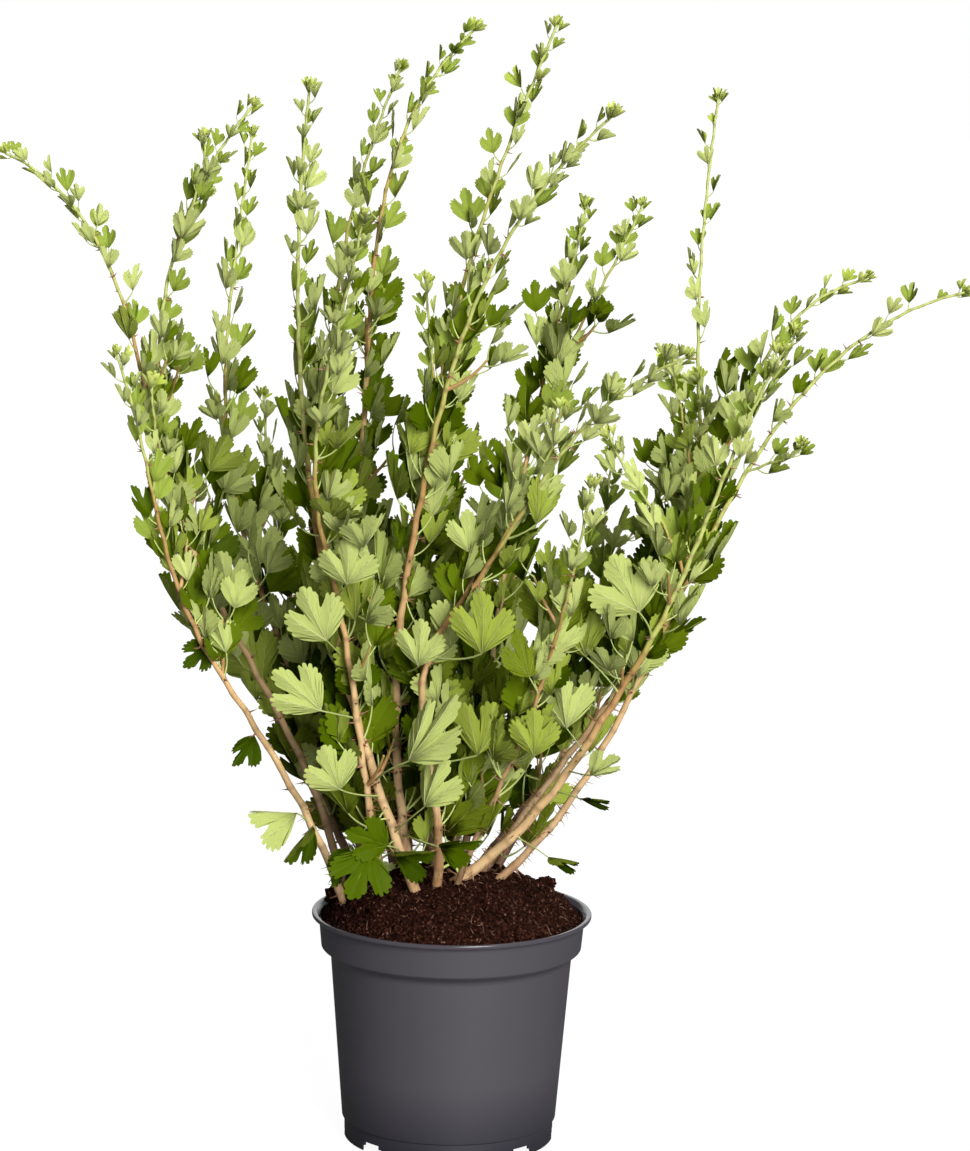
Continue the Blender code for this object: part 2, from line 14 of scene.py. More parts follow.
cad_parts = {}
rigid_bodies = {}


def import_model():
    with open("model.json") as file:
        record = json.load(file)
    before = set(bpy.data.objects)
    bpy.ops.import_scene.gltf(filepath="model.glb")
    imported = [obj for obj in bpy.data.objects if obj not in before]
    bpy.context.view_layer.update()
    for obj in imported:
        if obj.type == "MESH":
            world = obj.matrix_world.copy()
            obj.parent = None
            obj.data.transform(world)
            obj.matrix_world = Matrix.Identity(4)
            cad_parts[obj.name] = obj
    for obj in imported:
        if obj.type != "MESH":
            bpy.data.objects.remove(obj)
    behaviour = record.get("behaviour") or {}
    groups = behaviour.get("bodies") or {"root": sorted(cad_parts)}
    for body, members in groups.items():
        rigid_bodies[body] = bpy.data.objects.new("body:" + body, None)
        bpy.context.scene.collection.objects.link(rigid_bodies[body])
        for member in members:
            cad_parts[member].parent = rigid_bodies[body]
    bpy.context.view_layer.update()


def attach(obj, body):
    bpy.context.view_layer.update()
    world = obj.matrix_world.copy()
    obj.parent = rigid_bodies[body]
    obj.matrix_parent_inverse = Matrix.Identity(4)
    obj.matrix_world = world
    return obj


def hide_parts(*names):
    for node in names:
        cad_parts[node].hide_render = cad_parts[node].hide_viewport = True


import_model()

# Pot
# A round five-litre nursery pot, injection moulded in dark grey polypropylene. It has a flat
# rolled rim, a collar that nests in the next pot, a thin step ring and a skirt with drain notches.

POT_HEIGHT = 0.181
RIM_RADIUS = 0.110
RIM_BAND = 0.0032
RIM_LIP = 0.0032
RIM_ROLL = 0.0036
COLLAR_TOP_RADIUS = 0.1045
COLLAR_LOW_RADIUS = 0.1020
COLLAR_LOW_Z = 0.1555
SHOULDER_RADIUS = 0.0945
SHOULDER_Z = 0.1468
STEP_Z = 0.1530
STEP_DEPTH = 0.0003
BODY_LOW_RADIUS = 0.0845
SKIRT_HEIGHT = 0.0165
SKIRT_INSET = 0.0020
FOOT_RADIUS = 0.0826
POT_WALL = 0.0017
FLOOR_Z = 0.0092
PAD_RADIUS = 0.025
PAD_SLOPE = 0.006
PAD_THICKNESS = 0.002
POT_STEPS = 160
NOTCHES = 8
FIRST_NOTCH_DEG = 46.0
NOTCH_WIDTH = 0.022
NOTCH_HEIGHT = 0.0078
NOTCH_DEPTH = 0.012
NOTCH_ROUND = 0.003
DRAIN_RADIUS = 0.005
DRAIN_RING = 0.066

# Heights over which the painted shade at the pot's foot fades out, and over which the handled rim turns shiny
PAINTED_FOOT_SHADE = (SKIRT_HEIGHT - 0.010, SKIRT_HEIGHT + 0.045)
SHINY_RIM = (POT_HEIGHT - 0.0045, POT_HEIGHT - 0.0020)


def bowed(first, middle, last, share):
    """The point at a share of the bow that runs from first to last and leans towards middle."""
    return first.lerp(middle, share).lerp(middle.lerp(last, share), share)


def rounded(corners, steps=5):
    """The (radius, height) profile with each corner eased over its third value, a distance."""
    points = []
    last = len(corners) - 1
    for index, (x, z, ease) in enumerate(corners):
        here = Vector((x, z))
        if ease == 0.0 or index in (0, last):
            points.append(here)
            continue
        before = here + (Vector(corners[index - 1][:2]) - here).normalized() * ease
        after = here + (Vector(corners[index + 1][:2]) - here).normalized() * ease
        points += [bowed(before, here, after, step / steps) for step in range(steps + 1)]
    return points


def add_object(name, mesh):
    item = bpy.data.objects.new(name, mesh)
    bpy.context.scene.collection.objects.link(item)
    return item


def mesh_from(shape, name):
    """The shape as a mesh of this name; the shape itself is given up."""
    mesh = bpy.data.meshes.new(name)
    shape.to_mesh(mesh)
    shape.free()
    return mesh


def settled(item, crease_deg=None):
    """The object with its modifiers turned into a plain mesh, smooth between its creases."""
    graph = bpy.context.evaluated_depsgraph_get()
    mesh = bpy.data.meshes.new_from_object(item.evaluated_get(graph))
    item.modifiers.clear()
    item.data = mesh
    if crease_deg is not None:
        mesh.shade_smooth()
        mesh.set_sharp_from_angle(angle=math.radians(crease_deg))
    return item


def pot_profile():
    band_low = POT_HEIGHT - RIM_BAND
    inside = [
        (0.0, PAD_THICKNESS, 0.0),
        (PAD_RADIUS - 0.5 * POT_WALL, PAD_THICKNESS, 0.001),
        (PAD_RADIUS + PAD_SLOPE - 0.5 * POT_WALL, FLOOR_Z + POT_WALL, 0.001),
        (FOOT_RADIUS - POT_WALL, FLOOR_Z + POT_WALL, 0.001),
        (BODY_LOW_RADIUS - POT_WALL, SKIRT_HEIGHT + POT_WALL, 0.001),
        (SHOULDER_RADIUS - POT_WALL, SHOULDER_Z, 0.002),
        (COLLAR_LOW_RADIUS - POT_WALL, COLLAR_LOW_Z, 0.002),
        (COLLAR_TOP_RADIUS - POT_WALL, POT_HEIGHT - RIM_ROLL, 0.0012),
        (RIM_RADIUS - RIM_LIP, POT_HEIGHT, 0.0010),
    ]
    outside = [
        (RIM_RADIUS, POT_HEIGHT, 0.0015),
        (RIM_RADIUS - 0.0002, band_low, 0.0008),
        (COLLAR_TOP_RADIUS, band_low - 0.0004, 0.0012),
        (COLLAR_LOW_RADIUS + STEP_DEPTH, STEP_Z + 2.0 * STEP_DEPTH, 0.0003),
        (COLLAR_LOW_RADIUS - STEP_DEPTH, STEP_Z + STEP_DEPTH, 0.0003),
        (COLLAR_LOW_RADIUS - STEP_DEPTH, STEP_Z, 0.0030),
        (SHOULDER_RADIUS + 0.0004, SHOULDER_Z + 0.0010, 0.0035),
        (BODY_LOW_RADIUS, SKIRT_HEIGHT, 0.0006),
        (BODY_LOW_RADIUS - SKIRT_INSET, SKIRT_HEIGHT - 0.0006, 0.0004),
        (FOOT_RADIUS, 0.0, 0.0006),
        (FOOT_RADIUS - POT_WALL, 0.0, 0.0004),
        (FOOT_RADIUS - POT_WALL, FLOOR_Z, 0.0006),
        (PAD_RADIUS + PAD_SLOPE, FLOOR_Z, 0.001),
        (PAD_RADIUS, 0.0, 0.001),
        (0.0, 0.0, 0.0),
    ]
    return rounded(inside + outside)


def drain_cutter():
    """Round-cornered blocks for the skirt's notches and pins for the floor's drain holes."""
    shape = bmesh.new()
    for index in range(NOTCHES):
        turn = Matrix.Rotation(math.radians(-FIRST_NOTCH_DEG - 360.0 / NOTCHES * index), 4, "Z")
        block = bmesh.ops.create_cube(shape, size=1.0)["verts"]
        size = Matrix.Diagonal((NOTCH_WIDTH, NOTCH_DEPTH, 2.0 * NOTCH_HEIGHT, 1.0))
        bmesh.ops.transform(shape, matrix=size, verts=block)
        posts = [edge for edge in {e for v in block for e in v.link_edges}
                 if abs(edge.verts[0].co.y - edge.verts[1].co.y) > 0.5 * NOTCH_DEPTH]
        eased = bmesh.ops.bevel(shape, geom=posts, offset=NOTCH_ROUND, segments=4, affect="EDGES")
        block = list({v for face in eased["faces"] for v in face.verts} | {v for v in block if v.is_valid})
        place = Matrix.Translation((0.0, -FOOT_RADIUS, 0.0))
        bmesh.ops.transform(shape, matrix=turn @ place, verts=block)
        pin = bmesh.ops.create_cone(shape, cap_ends=True, segments=24, radius1=DRAIN_RADIUS,
                                    radius2=DRAIN_RADIUS, depth=4.0 * POT_WALL)["verts"]
        spot = Matrix.Translation((0.0, -DRAIN_RING, FLOOR_Z + 0.5 * POT_WALL))
        bmesh.ops.transform(shape, matrix=turn @ spot, verts=pin)
    return add_object("drain_cutter", mesh_from(shape, "drain_cutter"))


def new_finish(name, colour, roughness):
    """A material, with its tree and its shader, that starts from one colour."""
    material = bpy.data.materials.new(name)
    material.use_nodes = True
    tree = material.node_tree
    shader = tree.nodes["Principled BSDF"]
    shader.inputs["Base Color"].default_value = (*colour, 1.0)
    shader.inputs["Roughness"].default_value = roughness
    return material, tree, shader


def add_node(tree, kind, values=(), **settings):
    """A node of this kind with these settings, and then these values at its inputs."""
    node = tree.nodes.new(kind)
    for label, value in settings.items():
        setattr(node, label, value)
    for label, value in dict(values).items():
        node.inputs[label].default_value = value
    return node


def wire(tree, *rows):
    """Links nodes, for rows of a node, its output, the next node and its input."""
    for source, output, target, socket in rows:
        tree.links.new(source.outputs[output], target.inputs[socket])


def noise_node(tree, scale, detail=3.0, stretch=(1.0, 1.0, 1.0)):
    """A noise pattern on object coordinates; stretch squeezes it along each axis."""
    place = add_node(tree, "ShaderNodeTexCoord")
    mapping = add_node(tree, "ShaderNodeMapping", {"Scale": stretch})
    pattern = add_node(tree, "ShaderNodeTexNoise", {"Scale": scale, "Detail": detail})
    wire(tree, (place, "Object", mapping, "Vector"), (mapping, "Vector", pattern, "Vector"))
    return pattern


def ramp_node(tree, source, stops):
    """A colour ramp over a 0 to 1 value, from (position, colour) stops."""
    ramp = add_node(tree, "ShaderNodeValToRGB")
    while len(ramp.color_ramp.elements) < len(stops):
        ramp.color_ramp.elements.new(1.0)
    for element, (position, colour) in zip(ramp.color_ramp.elements, stops):
        element.position = position
        element.color = (*colour, 1.0)
    tree.links.new(source, ramp.inputs["Fac"])
    return ramp


def range_node(tree, source, low, high, start=0.0, end=1.0):
    """Maps a value from start to end onto low to high."""
    spread = add_node(tree, "ShaderNodeMapRange",
                      {"From Min": start, "From Max": end, "To Min": low, "To Max": high})
    tree.links.new(source, spread.inputs["Value"])
    return spread


def add_bump(tree, shader, source, strength, distance, under=None):
    bump = add_node(tree, "ShaderNodeBump", {"Strength": strength, "Distance": distance})
    tree.links.new(source, bump.inputs["Height"])
    if under is not None:
        wire(tree, (under, "Normal", bump, "Normal"))
    wire(tree, (bump, "Normal", shader, "Normal"))
    return bump


def moulded_plastic():
    material, tree, shader = new_finish("pot_plastic_grain", (0.05, 0.047, 0.056), 0.5)
    shader.inputs["Specular IOR Level"].default_value = 0.5
    place = add_node(tree, "ShaderNodeTexCoord")
    height = add_node(tree, "ShaderNodeSeparateXYZ")
    wire(tree, (place, "Object", height, "Vector"))
    # The base colour darkens towards the foot: painted shade on the skirt and the lower body
    lit = range_node(tree, height.outputs["Z"], 0.0, 1.0, *PAINTED_FOOT_SHADE)
    tint = ramp_node(tree, lit.outputs["Result"],
                     [(0.0, (0.026, 0.025, 0.036)), (1.0, (0.074, 0.069, 0.084))])
    scuff = noise_node(tree, 60.0, 6.0, (1.0, 1.0, 3.0))
    gloss = range_node(tree, scuff.outputs["Fac"], 0.40, 0.54)
    rim = range_node(tree, height.outputs["Z"], 1.0, 0.36, *SHINY_RIM)
    worn = add_node(tree, "ShaderNodeMath", operation="MULTIPLY")
    wire(tree, (tint, "Color", shader, "Base Color"), (gloss, "Result", worn, 0),
         (rim, "Result", worn, 1), (worn, "Value", shader, "Roughness"))
    ripple = noise_node(tree, 24.0, 2.0, (1.0, 1.0, 0.25))
    grain = noise_node(tree, 900.0, 2.0)
    broad = add_bump(tree, shader, ripple.outputs["Fac"], 0.25, 0.0006)
    add_bump(tree, shader, grain.outputs["Fac"], 0.16, 0.0002, broad)
    return material


def make_pot():
    mesh = bpy.data.meshes.new("pot_shell")
    points = [(point.x, 0.0, point.y) for point in pot_profile()]
    mesh.from_pydata(points, [(i, i + 1) for i in range(len(points) - 1)], [])
    pot = add_object("pot_shell", mesh)
    screw = pot.modifiers.new("Turn", "SCREW")
    screw.steps = screw.render_steps = POT_STEPS
    screw.use_merge_vertices = True
    screw.merge_threshold = 0.00001
    cutter = drain_cutter()
    notch = pot.modifiers.new("Drain notches", "BOOLEAN")
    notch.operation = "DIFFERENCE"
    notch.object = cutter
    settled(pot, 38.0)
    bpy.data.objects.remove(cutter, do_unlink=True)
    pot.data.materials.clear()
    pot.data.materials.append(moulded_plastic())
    return pot


pot = make_pot()
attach(pot, "root")
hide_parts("pot")

# Peat
# Dark red-brown peat fills the pot and heaps up round the canes. Crumbs, a few clods and
# short root fibres lie loose on it, as it was thrown in by hand and firmed.

SOIL_RADIUS = 0.1012
SOIL_EDGE_Z = 0.1752
SOIL_RISE = 0.0335
SOIL_POWER = 3.5
SOIL_LOW_RADIUS = 0.0806
SOIL_STEPS = 144
SOIL_RINGS = 46
SOIL_GAP = 0.0006
SOIL_EDGE = 0.006
SOIL_MOUNDS = ((-0.080, -0.030, 0.007, 0.016), (-0.060, -0.052, 0.003, 0.015),
               (0.050, -0.040, 0.003, 0.020))
SOIL_LUMPS = ((38.0, 0.0030), (105.0, 0.0017), (240.0, 0.0010))
CRUMB_SHAPES = 6
CRUMB_SLOPE = 0.35
FULL_TURN = 6.283
FIBRES = 260
FIBRE_EDGE = SOIL_RADIUS - 0.001

# What is strewn: its name, how much on a square metre, its smallest and largest size, its seed
STREWN = (("peat_crumbs", 170000.0, 0.0006, 0.0019, 3), ("peat_lumps", 9500.0, 0.0020, 0.0044, 8))

# Clods: x, y and half their width
CLODS = ((-0.084, -0.018, 0.012), (-0.090, 0.004, 0.010), (-0.070, -0.046, 0.008),
         (-0.058, -0.062, 0.006), (-0.076, -0.032, 0.007), (0.062, -0.034, 0.006),
         (0.030, -0.066, 0.005), (0.074, 0.020, 0.007), (-0.010, -0.070, 0.005))


def soil_height(x, y):
    share = min(math.hypot(x, y) / SOIL_RADIUS, 1.0)
    return SOIL_EDGE_Z + SOIL_RISE * (1.0 - share ** SOIL_POWER)


def lumpy_height(x, y):
    """The heap's height with its lumps, which die out at the pot's wall."""
    edge = max(min(1.0, (SOIL_RADIUS - math.hypot(x, y)) / SOIL_EDGE), 0.0)
    height = soil_height(x, y)
    for mound_x, mound_y, mound_rise, mound_width in SOIL_MOUNDS:
        away = math.hypot(x - mound_x, y - mound_y) / mound_width
        height += mound_rise * math.exp(-away * away) * edge
    for scale, size in SOIL_LUMPS:
        height += noise.noise(Vector((x, y, 0.3)) * scale) * size * edge
    return height


def mottled_finish(name, colour, roughness, grain, detail, stops):
    """A finish coloured by a ramp over fine noise, and the noise itself for more use."""
    material, tree, shader = new_finish(name, colour, roughness)
    mottle = noise_node(tree, grain, detail).outputs["Fac"]
    wire(tree, (ramp_node(tree, mottle, stops), "Color", shader, "Base Color"))
    return material, tree, shader, mottle


def peat_finish():
    material, tree, shader, mottle = mottled_finish(
        "peat_dark", (0.026, 0.010, 0.007), 0.95, 420.0, 6.0,
        [(0.34, (0.005, 0.0008, 0.0004)), (0.50, (0.022, 0.0056, 0.0032)),
         (0.64, (0.062, 0.021, 0.012)), (0.74, (0.34, 0.21, 0.15))])
    shader.inputs["Specular IOR Level"].default_value = 0.08
    wire(tree, (range_node(tree, mottle, 0.75, 1.0), "Result", shader, "Roughness"))
    add_bump(tree, shader, noise_node(tree, 900.0, 6.0).outputs["Fac"], 0.9, 0.0012)
    return material


def fibre_finish():
    material, tree, shader, mottle = mottled_finish(
        "peat_fibre", (0.16, 0.09, 0.05), 0.85, 150.0, 3.0,
        [(0.35, (0.035, 0.012, 0.007)), (0.68, (0.26, 0.14, 0.085))])
    add_bump(tree, shader, mottle, 0.4, 0.0003)
    return material


def rings_mesh(name, rings, steps):
    """A closed shape of rings round Z; rings are lists of points, the first and last single."""
    shape = bmesh.new()
    made = [[shape.verts.new(point) for point in ring] for ring in rings]
    for low, high in zip(made, made[1:]):
        for step in range(steps):
            after = (step + 1) % steps
            corners = [low[step % len(low)], low[after % len(low)],
                       high[after % len(high)], high[step % len(high)]]
            shape.faces.new([c for i, c in enumerate(corners) if c not in corners[:i]])
    bmesh.ops.recalc_face_normals(shape, faces=shape.faces)
    return mesh_from(shape, name)


def make_soil():
    def ring(radius, height=None):
        points = []
        for step in range(SOIL_STEPS):
            turn = 2.0 * math.pi * step / SOIL_STEPS
            x = radius * math.cos(turn)
            y = radius * math.sin(turn)
            points.append((x, y, lumpy_height(x, y) if height is None else height))
        return points

    wall = POT_WALL + SOIL_GAP
    rings = [[(0.0, 0.0, lumpy_height(0.0, 0.0))]]
    rings += [ring(SOIL_RADIUS * number / SOIL_RINGS) for number in range(1, SOIL_RINGS + 1)]
    bottom = FLOOR_Z + POT_WALL + SOIL_GAP
    rings += [ring(COLLAR_LOW_RADIUS - wall, COLLAR_LOW_Z), ring(SHOULDER_RADIUS - wall, SHOULDER_Z),
              ring(SOIL_LOW_RADIUS, FLOOR_Z + 2.0 * POT_WALL),
              ring(SOIL_LOW_RADIUS - POT_WALL, bottom), [(0.0, 0.0, bottom)]]
    mesh = rings_mesh("peat_heap", rings, SOIL_STEPS)
    mesh.materials.append(peat_finish())
    return add_object("peat_heap", mesh)


def node_tree(name, inputs):
    """A Geometry Nodes tree with these (name, socket kind) inputs beside its geometry."""
    tree = bpy.data.node_groups.new(name, "GeometryNodeTree")
    tree.interface.new_socket("Geometry", in_out="INPUT", socket_type="NodeSocketGeometry")
    for label, kind in inputs:
        tree.interface.new_socket(label, in_out="INPUT", socket_type="NodeSocket" + kind)
    tree.interface.new_socket("Geometry", in_out="OUTPUT", socket_type="NodeSocketGeometry")
    return tree, tree.nodes.new("NodeGroupInput"), tree.nodes.new("NodeGroupOutput")


def grown(name, carrier, tree, values):
    """What the tree makes of the carrier mesh, as a plain mesh object."""
    item = add_object(name, carrier)
    modifier = item.modifiers.new("Growth", "NODES")
    modifier.node_group = tree
    for socket in tree.interface.items_tree:
        if socket.in_out == "INPUT" and socket.name in values:
            modifier[socket.identifier] = values[socket.name]
    return settled(item)


def lump_template(name, seed):
    """A small angular crumb, one unit across its half."""
    shape = bmesh.new()
    bmesh.ops.create_icosphere(shape, subdivisions=1, radius=1.0)
    chance = random.Random(seed)
    for vertex in shape.verts:
        vertex.co *= chance.uniform(0.62, 1.25)
        vertex.co.z *= 0.75
    return mesh_from(shape, name)


def template_collection(name, meshes):
    """A collection off the scene whose objects, in name order, are what a tree picks from."""
    collection = bpy.data.collections.new(name)
    for number, mesh in enumerate(meshes):
        collection.objects.link(bpy.data.objects.new(f"{name}_{number:02d}", mesh))
    return collection


def drop_templates(collection):
    for item in list(collection.objects):
        bpy.data.objects.remove(item, do_unlink=True)
    bpy.data.collections.remove(collection)


def live(sockets):
    """The sockets that a node shows for the kind of data it is set to."""
    return [socket for socket in sockets if socket.enabled]


def picking_nodes(tree):
    """Nodes that hold a collection's shapes, put a picked one on each point and make it real."""
    shapes = add_node(tree, "GeometryNodeCollectionInfo", {"Separate Children": True, "Reset Children": True})
    put = add_node(tree, "GeometryNodeInstanceOnPoints", {"Pick Instance": True})
    real = add_node(tree, "GeometryNodeRealizeInstances")
    wire(tree, (shapes, "Instances", put, "Instance"), (put, "Instances", real, "Geometry"))
    return shapes, put, real


def crumbs_tree():
    """Strews picked crumbs over the faces that look up, turned and sized at random."""
    tree, start, end = node_tree("crumbs on a heap", [
        ("Density", "Float"), ("Smallest", "Float"), ("Largest", "Float"), ("Seed", "Int"),
        ("Shapes", "Collection"), ("Finish", "Material")])
    spots = add_node(tree, "GeometryNodeDistributePointsOnFaces")
    normal = add_node(tree, "GeometryNodeInputNormal")
    upright = add_node(tree, "ShaderNodeSeparateXYZ")
    looks_up = add_node(tree, "FunctionNodeCompare", {"B": CRUMB_SLOPE}, operation="GREATER_THAN")
    turn = add_node(tree, "FunctionNodeRandomValue", {"Max": (FULL_TURN,) * 3}, data_type="FLOAT_VECTOR")
    size = add_node(tree, "FunctionNodeRandomValue")
    pick = add_node(tree, "FunctionNodeRandomValue", data_type="INT")
    for socket, value in zip(live(pick.inputs), (0, CRUMB_SHAPES - 1)):
        socket.default_value = value
    to_rotation = add_node(tree, "FunctionNodeEulerToRotation")
    shapes, put, real = picking_nodes(tree)
    finish = add_node(tree, "GeometryNodeSetMaterial")
    wire(tree, (start, "Geometry", spots, "Mesh"), (normal, "Normal", upright, 0),
         (upright, "Z", looks_up, "A"), (looks_up, "Result", spots, "Selection"),
         (start, "Density", spots, "Density"), (start, "Seed", spots, "Seed"),
         (start, "Shapes", shapes, "Collection"), (spots, "Points", put, "Points"),
         (to_rotation, "Rotation", put, "Rotation"), (real, "Geometry", finish, "Geometry"),
         (start, "Finish", finish, "Material"), (finish, "Geometry", end, "Geometry"))
    for source, target in ((start.outputs["Smallest"], live(size.inputs)[0]),
                           (start.outputs["Largest"], live(size.inputs)[1]),
                           (live(turn.outputs)[0], to_rotation.inputs["Euler"]),
                           (live(pick.outputs)[0], put.inputs["Instance Index"]),
                           (live(size.outputs)[0], put.inputs["Scale"])):
        tree.links.new(source, target)
    return tree


def clod_mesh(name, chance):
    """The larger clods of CLODS, roughened lumps half sunk in the heap."""
    shape = bmesh.new()
    for x, y, size in CLODS:
        made = bmesh.ops.create_icosphere(shape, subdivisions=4, radius=size)["verts"]
        offset = Vector((chance.uniform(0, 9), chance.uniform(0, 9), chance.uniform(0, 9)))
        for vertex in made:
            rough = 1.0
            for scale, depth in ((1.6, 0.55), (4.5, 0.28), (11.0, 0.16)):
                rough += depth * noise.noise(vertex.co / size * scale + offset)
            vertex.co *= rough
            vertex.co.z *= 0.8
        middle = Matrix.Translation((x, y, lumpy_height(x, y) + 0.25 * size))
        bmesh.ops.transform(shape, matrix=middle, verts=made)
    return mesh_from(shape, name)


def tubes_tree():
    """Round limbs along every line of points, as thick as each point says."""
    tree, start, end = node_tree("round limbs along lines", [
        ("Sides", "Int"), ("Relief", "Float"), ("Relief scale", "Float"), ("Finish", "Material")])
    lines = add_node(tree, "GeometryNodeMeshToCurve")
    outline = add_node(tree, "GeometryNodeCurvePrimitiveCircle", {"Radius": 1.0})
    thickness = add_node(tree, "GeometryNodeInputNamedAttribute", {"Name": "thickness"})
    skin = add_node(tree, "GeometryNodeCurveToMesh", {"Fill Caps": True})
    grain = add_node(tree, "ShaderNodeTexNoise", {"Detail": 3.0})
    place = add_node(tree, "GeometryNodeInputPosition")
    squeeze = add_node(tree, "ShaderNodeVectorMath", {1: (1.0, 1.0, 0.22)}, operation="MULTIPLY")
    centre = add_node(tree, "ShaderNodeMath", {1: 0.5}, operation="SUBTRACT")
    depth = add_node(tree, "ShaderNodeMath", operation="MULTIPLY")
    normal = add_node(tree, "GeometryNodeInputNormal")
    push = add_node(tree, "ShaderNodeVectorMath", operation="SCALE")
    moved = add_node(tree, "GeometryNodeSetPosition")
    smooth = add_node(tree, "GeometryNodeSetShadeSmooth")
    finish = add_node(tree, "GeometryNodeSetMaterial")
    real = add_node(tree, "GeometryNodeRealizeInstances")
    wire(tree, (start, "Geometry", lines, "Mesh"), (lines, "Curve", skin, "Curve"),
         (start, "Sides", outline, "Resolution"), (outline, "Curve", skin, "Profile Curve"),
         (thickness, "Attribute", skin, "Scale"), (place, "Position", squeeze, 0),
         (squeeze, "Vector", grain, "Vector"), (start, "Relief scale", grain, "Scale"),
         (grain, "Fac", centre, 0), (centre, "Value", depth, 0), (start, "Relief", depth, 1),
         (normal, "Normal", push, 0), (depth, "Value", push, "Scale"),
         (skin, "Mesh", moved, "Geometry"), (push, "Vector", moved, "Offset"),
         (moved, "Geometry", smooth, "Geometry"), (smooth, "Geometry", real, "Geometry"),
         (real, "Geometry", finish, "Geometry"), (start, "Finish", finish, "Material"),
         (finish, "Geometry", end, "Geometry"))
    return tree


class Lines:
    """Lines of points for the limb tree, with a thickness and other values at each point."""

    def __init__(self, *values):
        self.points = []
        self.edges = []
        self.values = {name: [] for name in ("thickness",) + values}

    def add(self, points, **values):
        first = len(self.points)
        self.points += points
        self.edges += [(first + i, first + i + 1) for i in range(len(points) - 1)]
        for name, rows in values.items():
            self.values[name] += rows

    def mesh(self, name):
        mesh = bpy.data.meshes.new(name)
        mesh.from_pydata(self.points, self.edges, [])
        for label, rows in self.values.items():
            mesh.attributes.new(label, "FLOAT", "POINT").data.foreach_set("value", rows)
        return mesh


def limbs(name, lines, sides, finish, relief=0.0, relief_scale=1.0):
    """Round limbs along these lines, as a plain mesh object."""
    return grown(name, lines.mesh(name), limb_tree, {
        "Sides": sides, "Relief": relief, "Relief scale": relief_scale, "Finish": finish})


def fibre_lines(chance):
    """Short bent root fibres and wood slivers that lie on the heap."""
    lines = Lines()
    for _ in range(FIBRES):
        radius = SOIL_RADIUS * 0.96 * math.sqrt(chance.random())
        turn = chance.uniform(0.0, 2.0 * math.pi)
        middle = Vector((radius * math.cos(turn), radius * math.sin(turn), 0.0))
        length = chance.uniform(0.002, 0.007)
        heading = chance.uniform(0.0, math.pi)
        bend = chance.uniform(-0.5, 0.5)
        thick = chance.uniform(0.00018, 0.00042)
        points = []
        for step in range(5):
            part = step / 4 - 0.5
            way = heading + bend * part * 2.0
            spot = middle + Vector((math.cos(way), math.sin(way), 0.0)) * part * length
            if math.hypot(spot.x, spot.y) > FIBRE_EDGE:
                spot *= FIBRE_EDGE / math.hypot(spot.x, spot.y)
            lift = 0.0012 + 0.0010 * math.sin(part * 3.0 + bend)
            points.append(Vector((spot.x, spot.y, lumpy_height(spot.x, spot.y) + lift)))
        lines.add(points, thickness=[thick * share for share in (0.5, 1.0, 1.0, 0.9, 0.4)])
    return lines


soil = make_soil()
peat_look = soil.data.materials[0]
crumb_shapes = template_collection("crumb", [lump_template("crumb", seed) for seed in range(CRUMB_SHAPES)])
strew = crumbs_tree()
loose = [grown(name, soil.data.copy(), strew, {
    "Density": density, "Smallest": smallest, "Largest": largest, "Seed": seed,
    "Shapes": crumb_shapes, "Finish": peat_look}) for name, density, smallest, largest, seed in STREWN]
drop_templates(crumb_shapes)
clods = add_object("peat_clods", clod_mesh("peat_clods", random.Random(5)))
clods.data.materials.append(peat_look)
limb_tree = tubes_tree()
fibres = limbs("peat_fibres", fibre_lines(random.Random(21)), 4, fibre_finish())
for piece in (soil, *loose, clods, fibres):
    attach(piece, "root")
    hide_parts("soil")

# Canes
# Twenty-two woody shoots from one clump. The foot of each has tan bark, the middle brown bark,
# and the new growth is yellow-green; the bark swells into a joint under every leaf.
# The feet of the canes further back are darkened as painted shade.

CANE_RADIUS = 0.0042
CANE_TIP_RADIUS = 0.0010
CANE_TAPER = 1.35
FOOT_FLARE = 0.12
FOOT_FLARE_LENGTH = 0.035
HANDLE = 0.36
ROUTE_STEPS = 40
UNDER_PEAT = 0.012
BUD_LENGTH = 0.004
SHORTEST_CANE = 0.34
CANE_STEP = 0.0034
CANE_SIDES = 10
BARK_RELIEF = 0.0007
BARK_GRAIN = 300.0
FIRST_JOINT = 0.03
LEAST_BARE = 0.22
JOINT_SWELL = 0.13
JOINT_WIDTH = 0.0045
JOINT_MARK = 0.0022
ZIGZAG = 0.0011
PAINTED_SHADE_UNTIL = 0.55

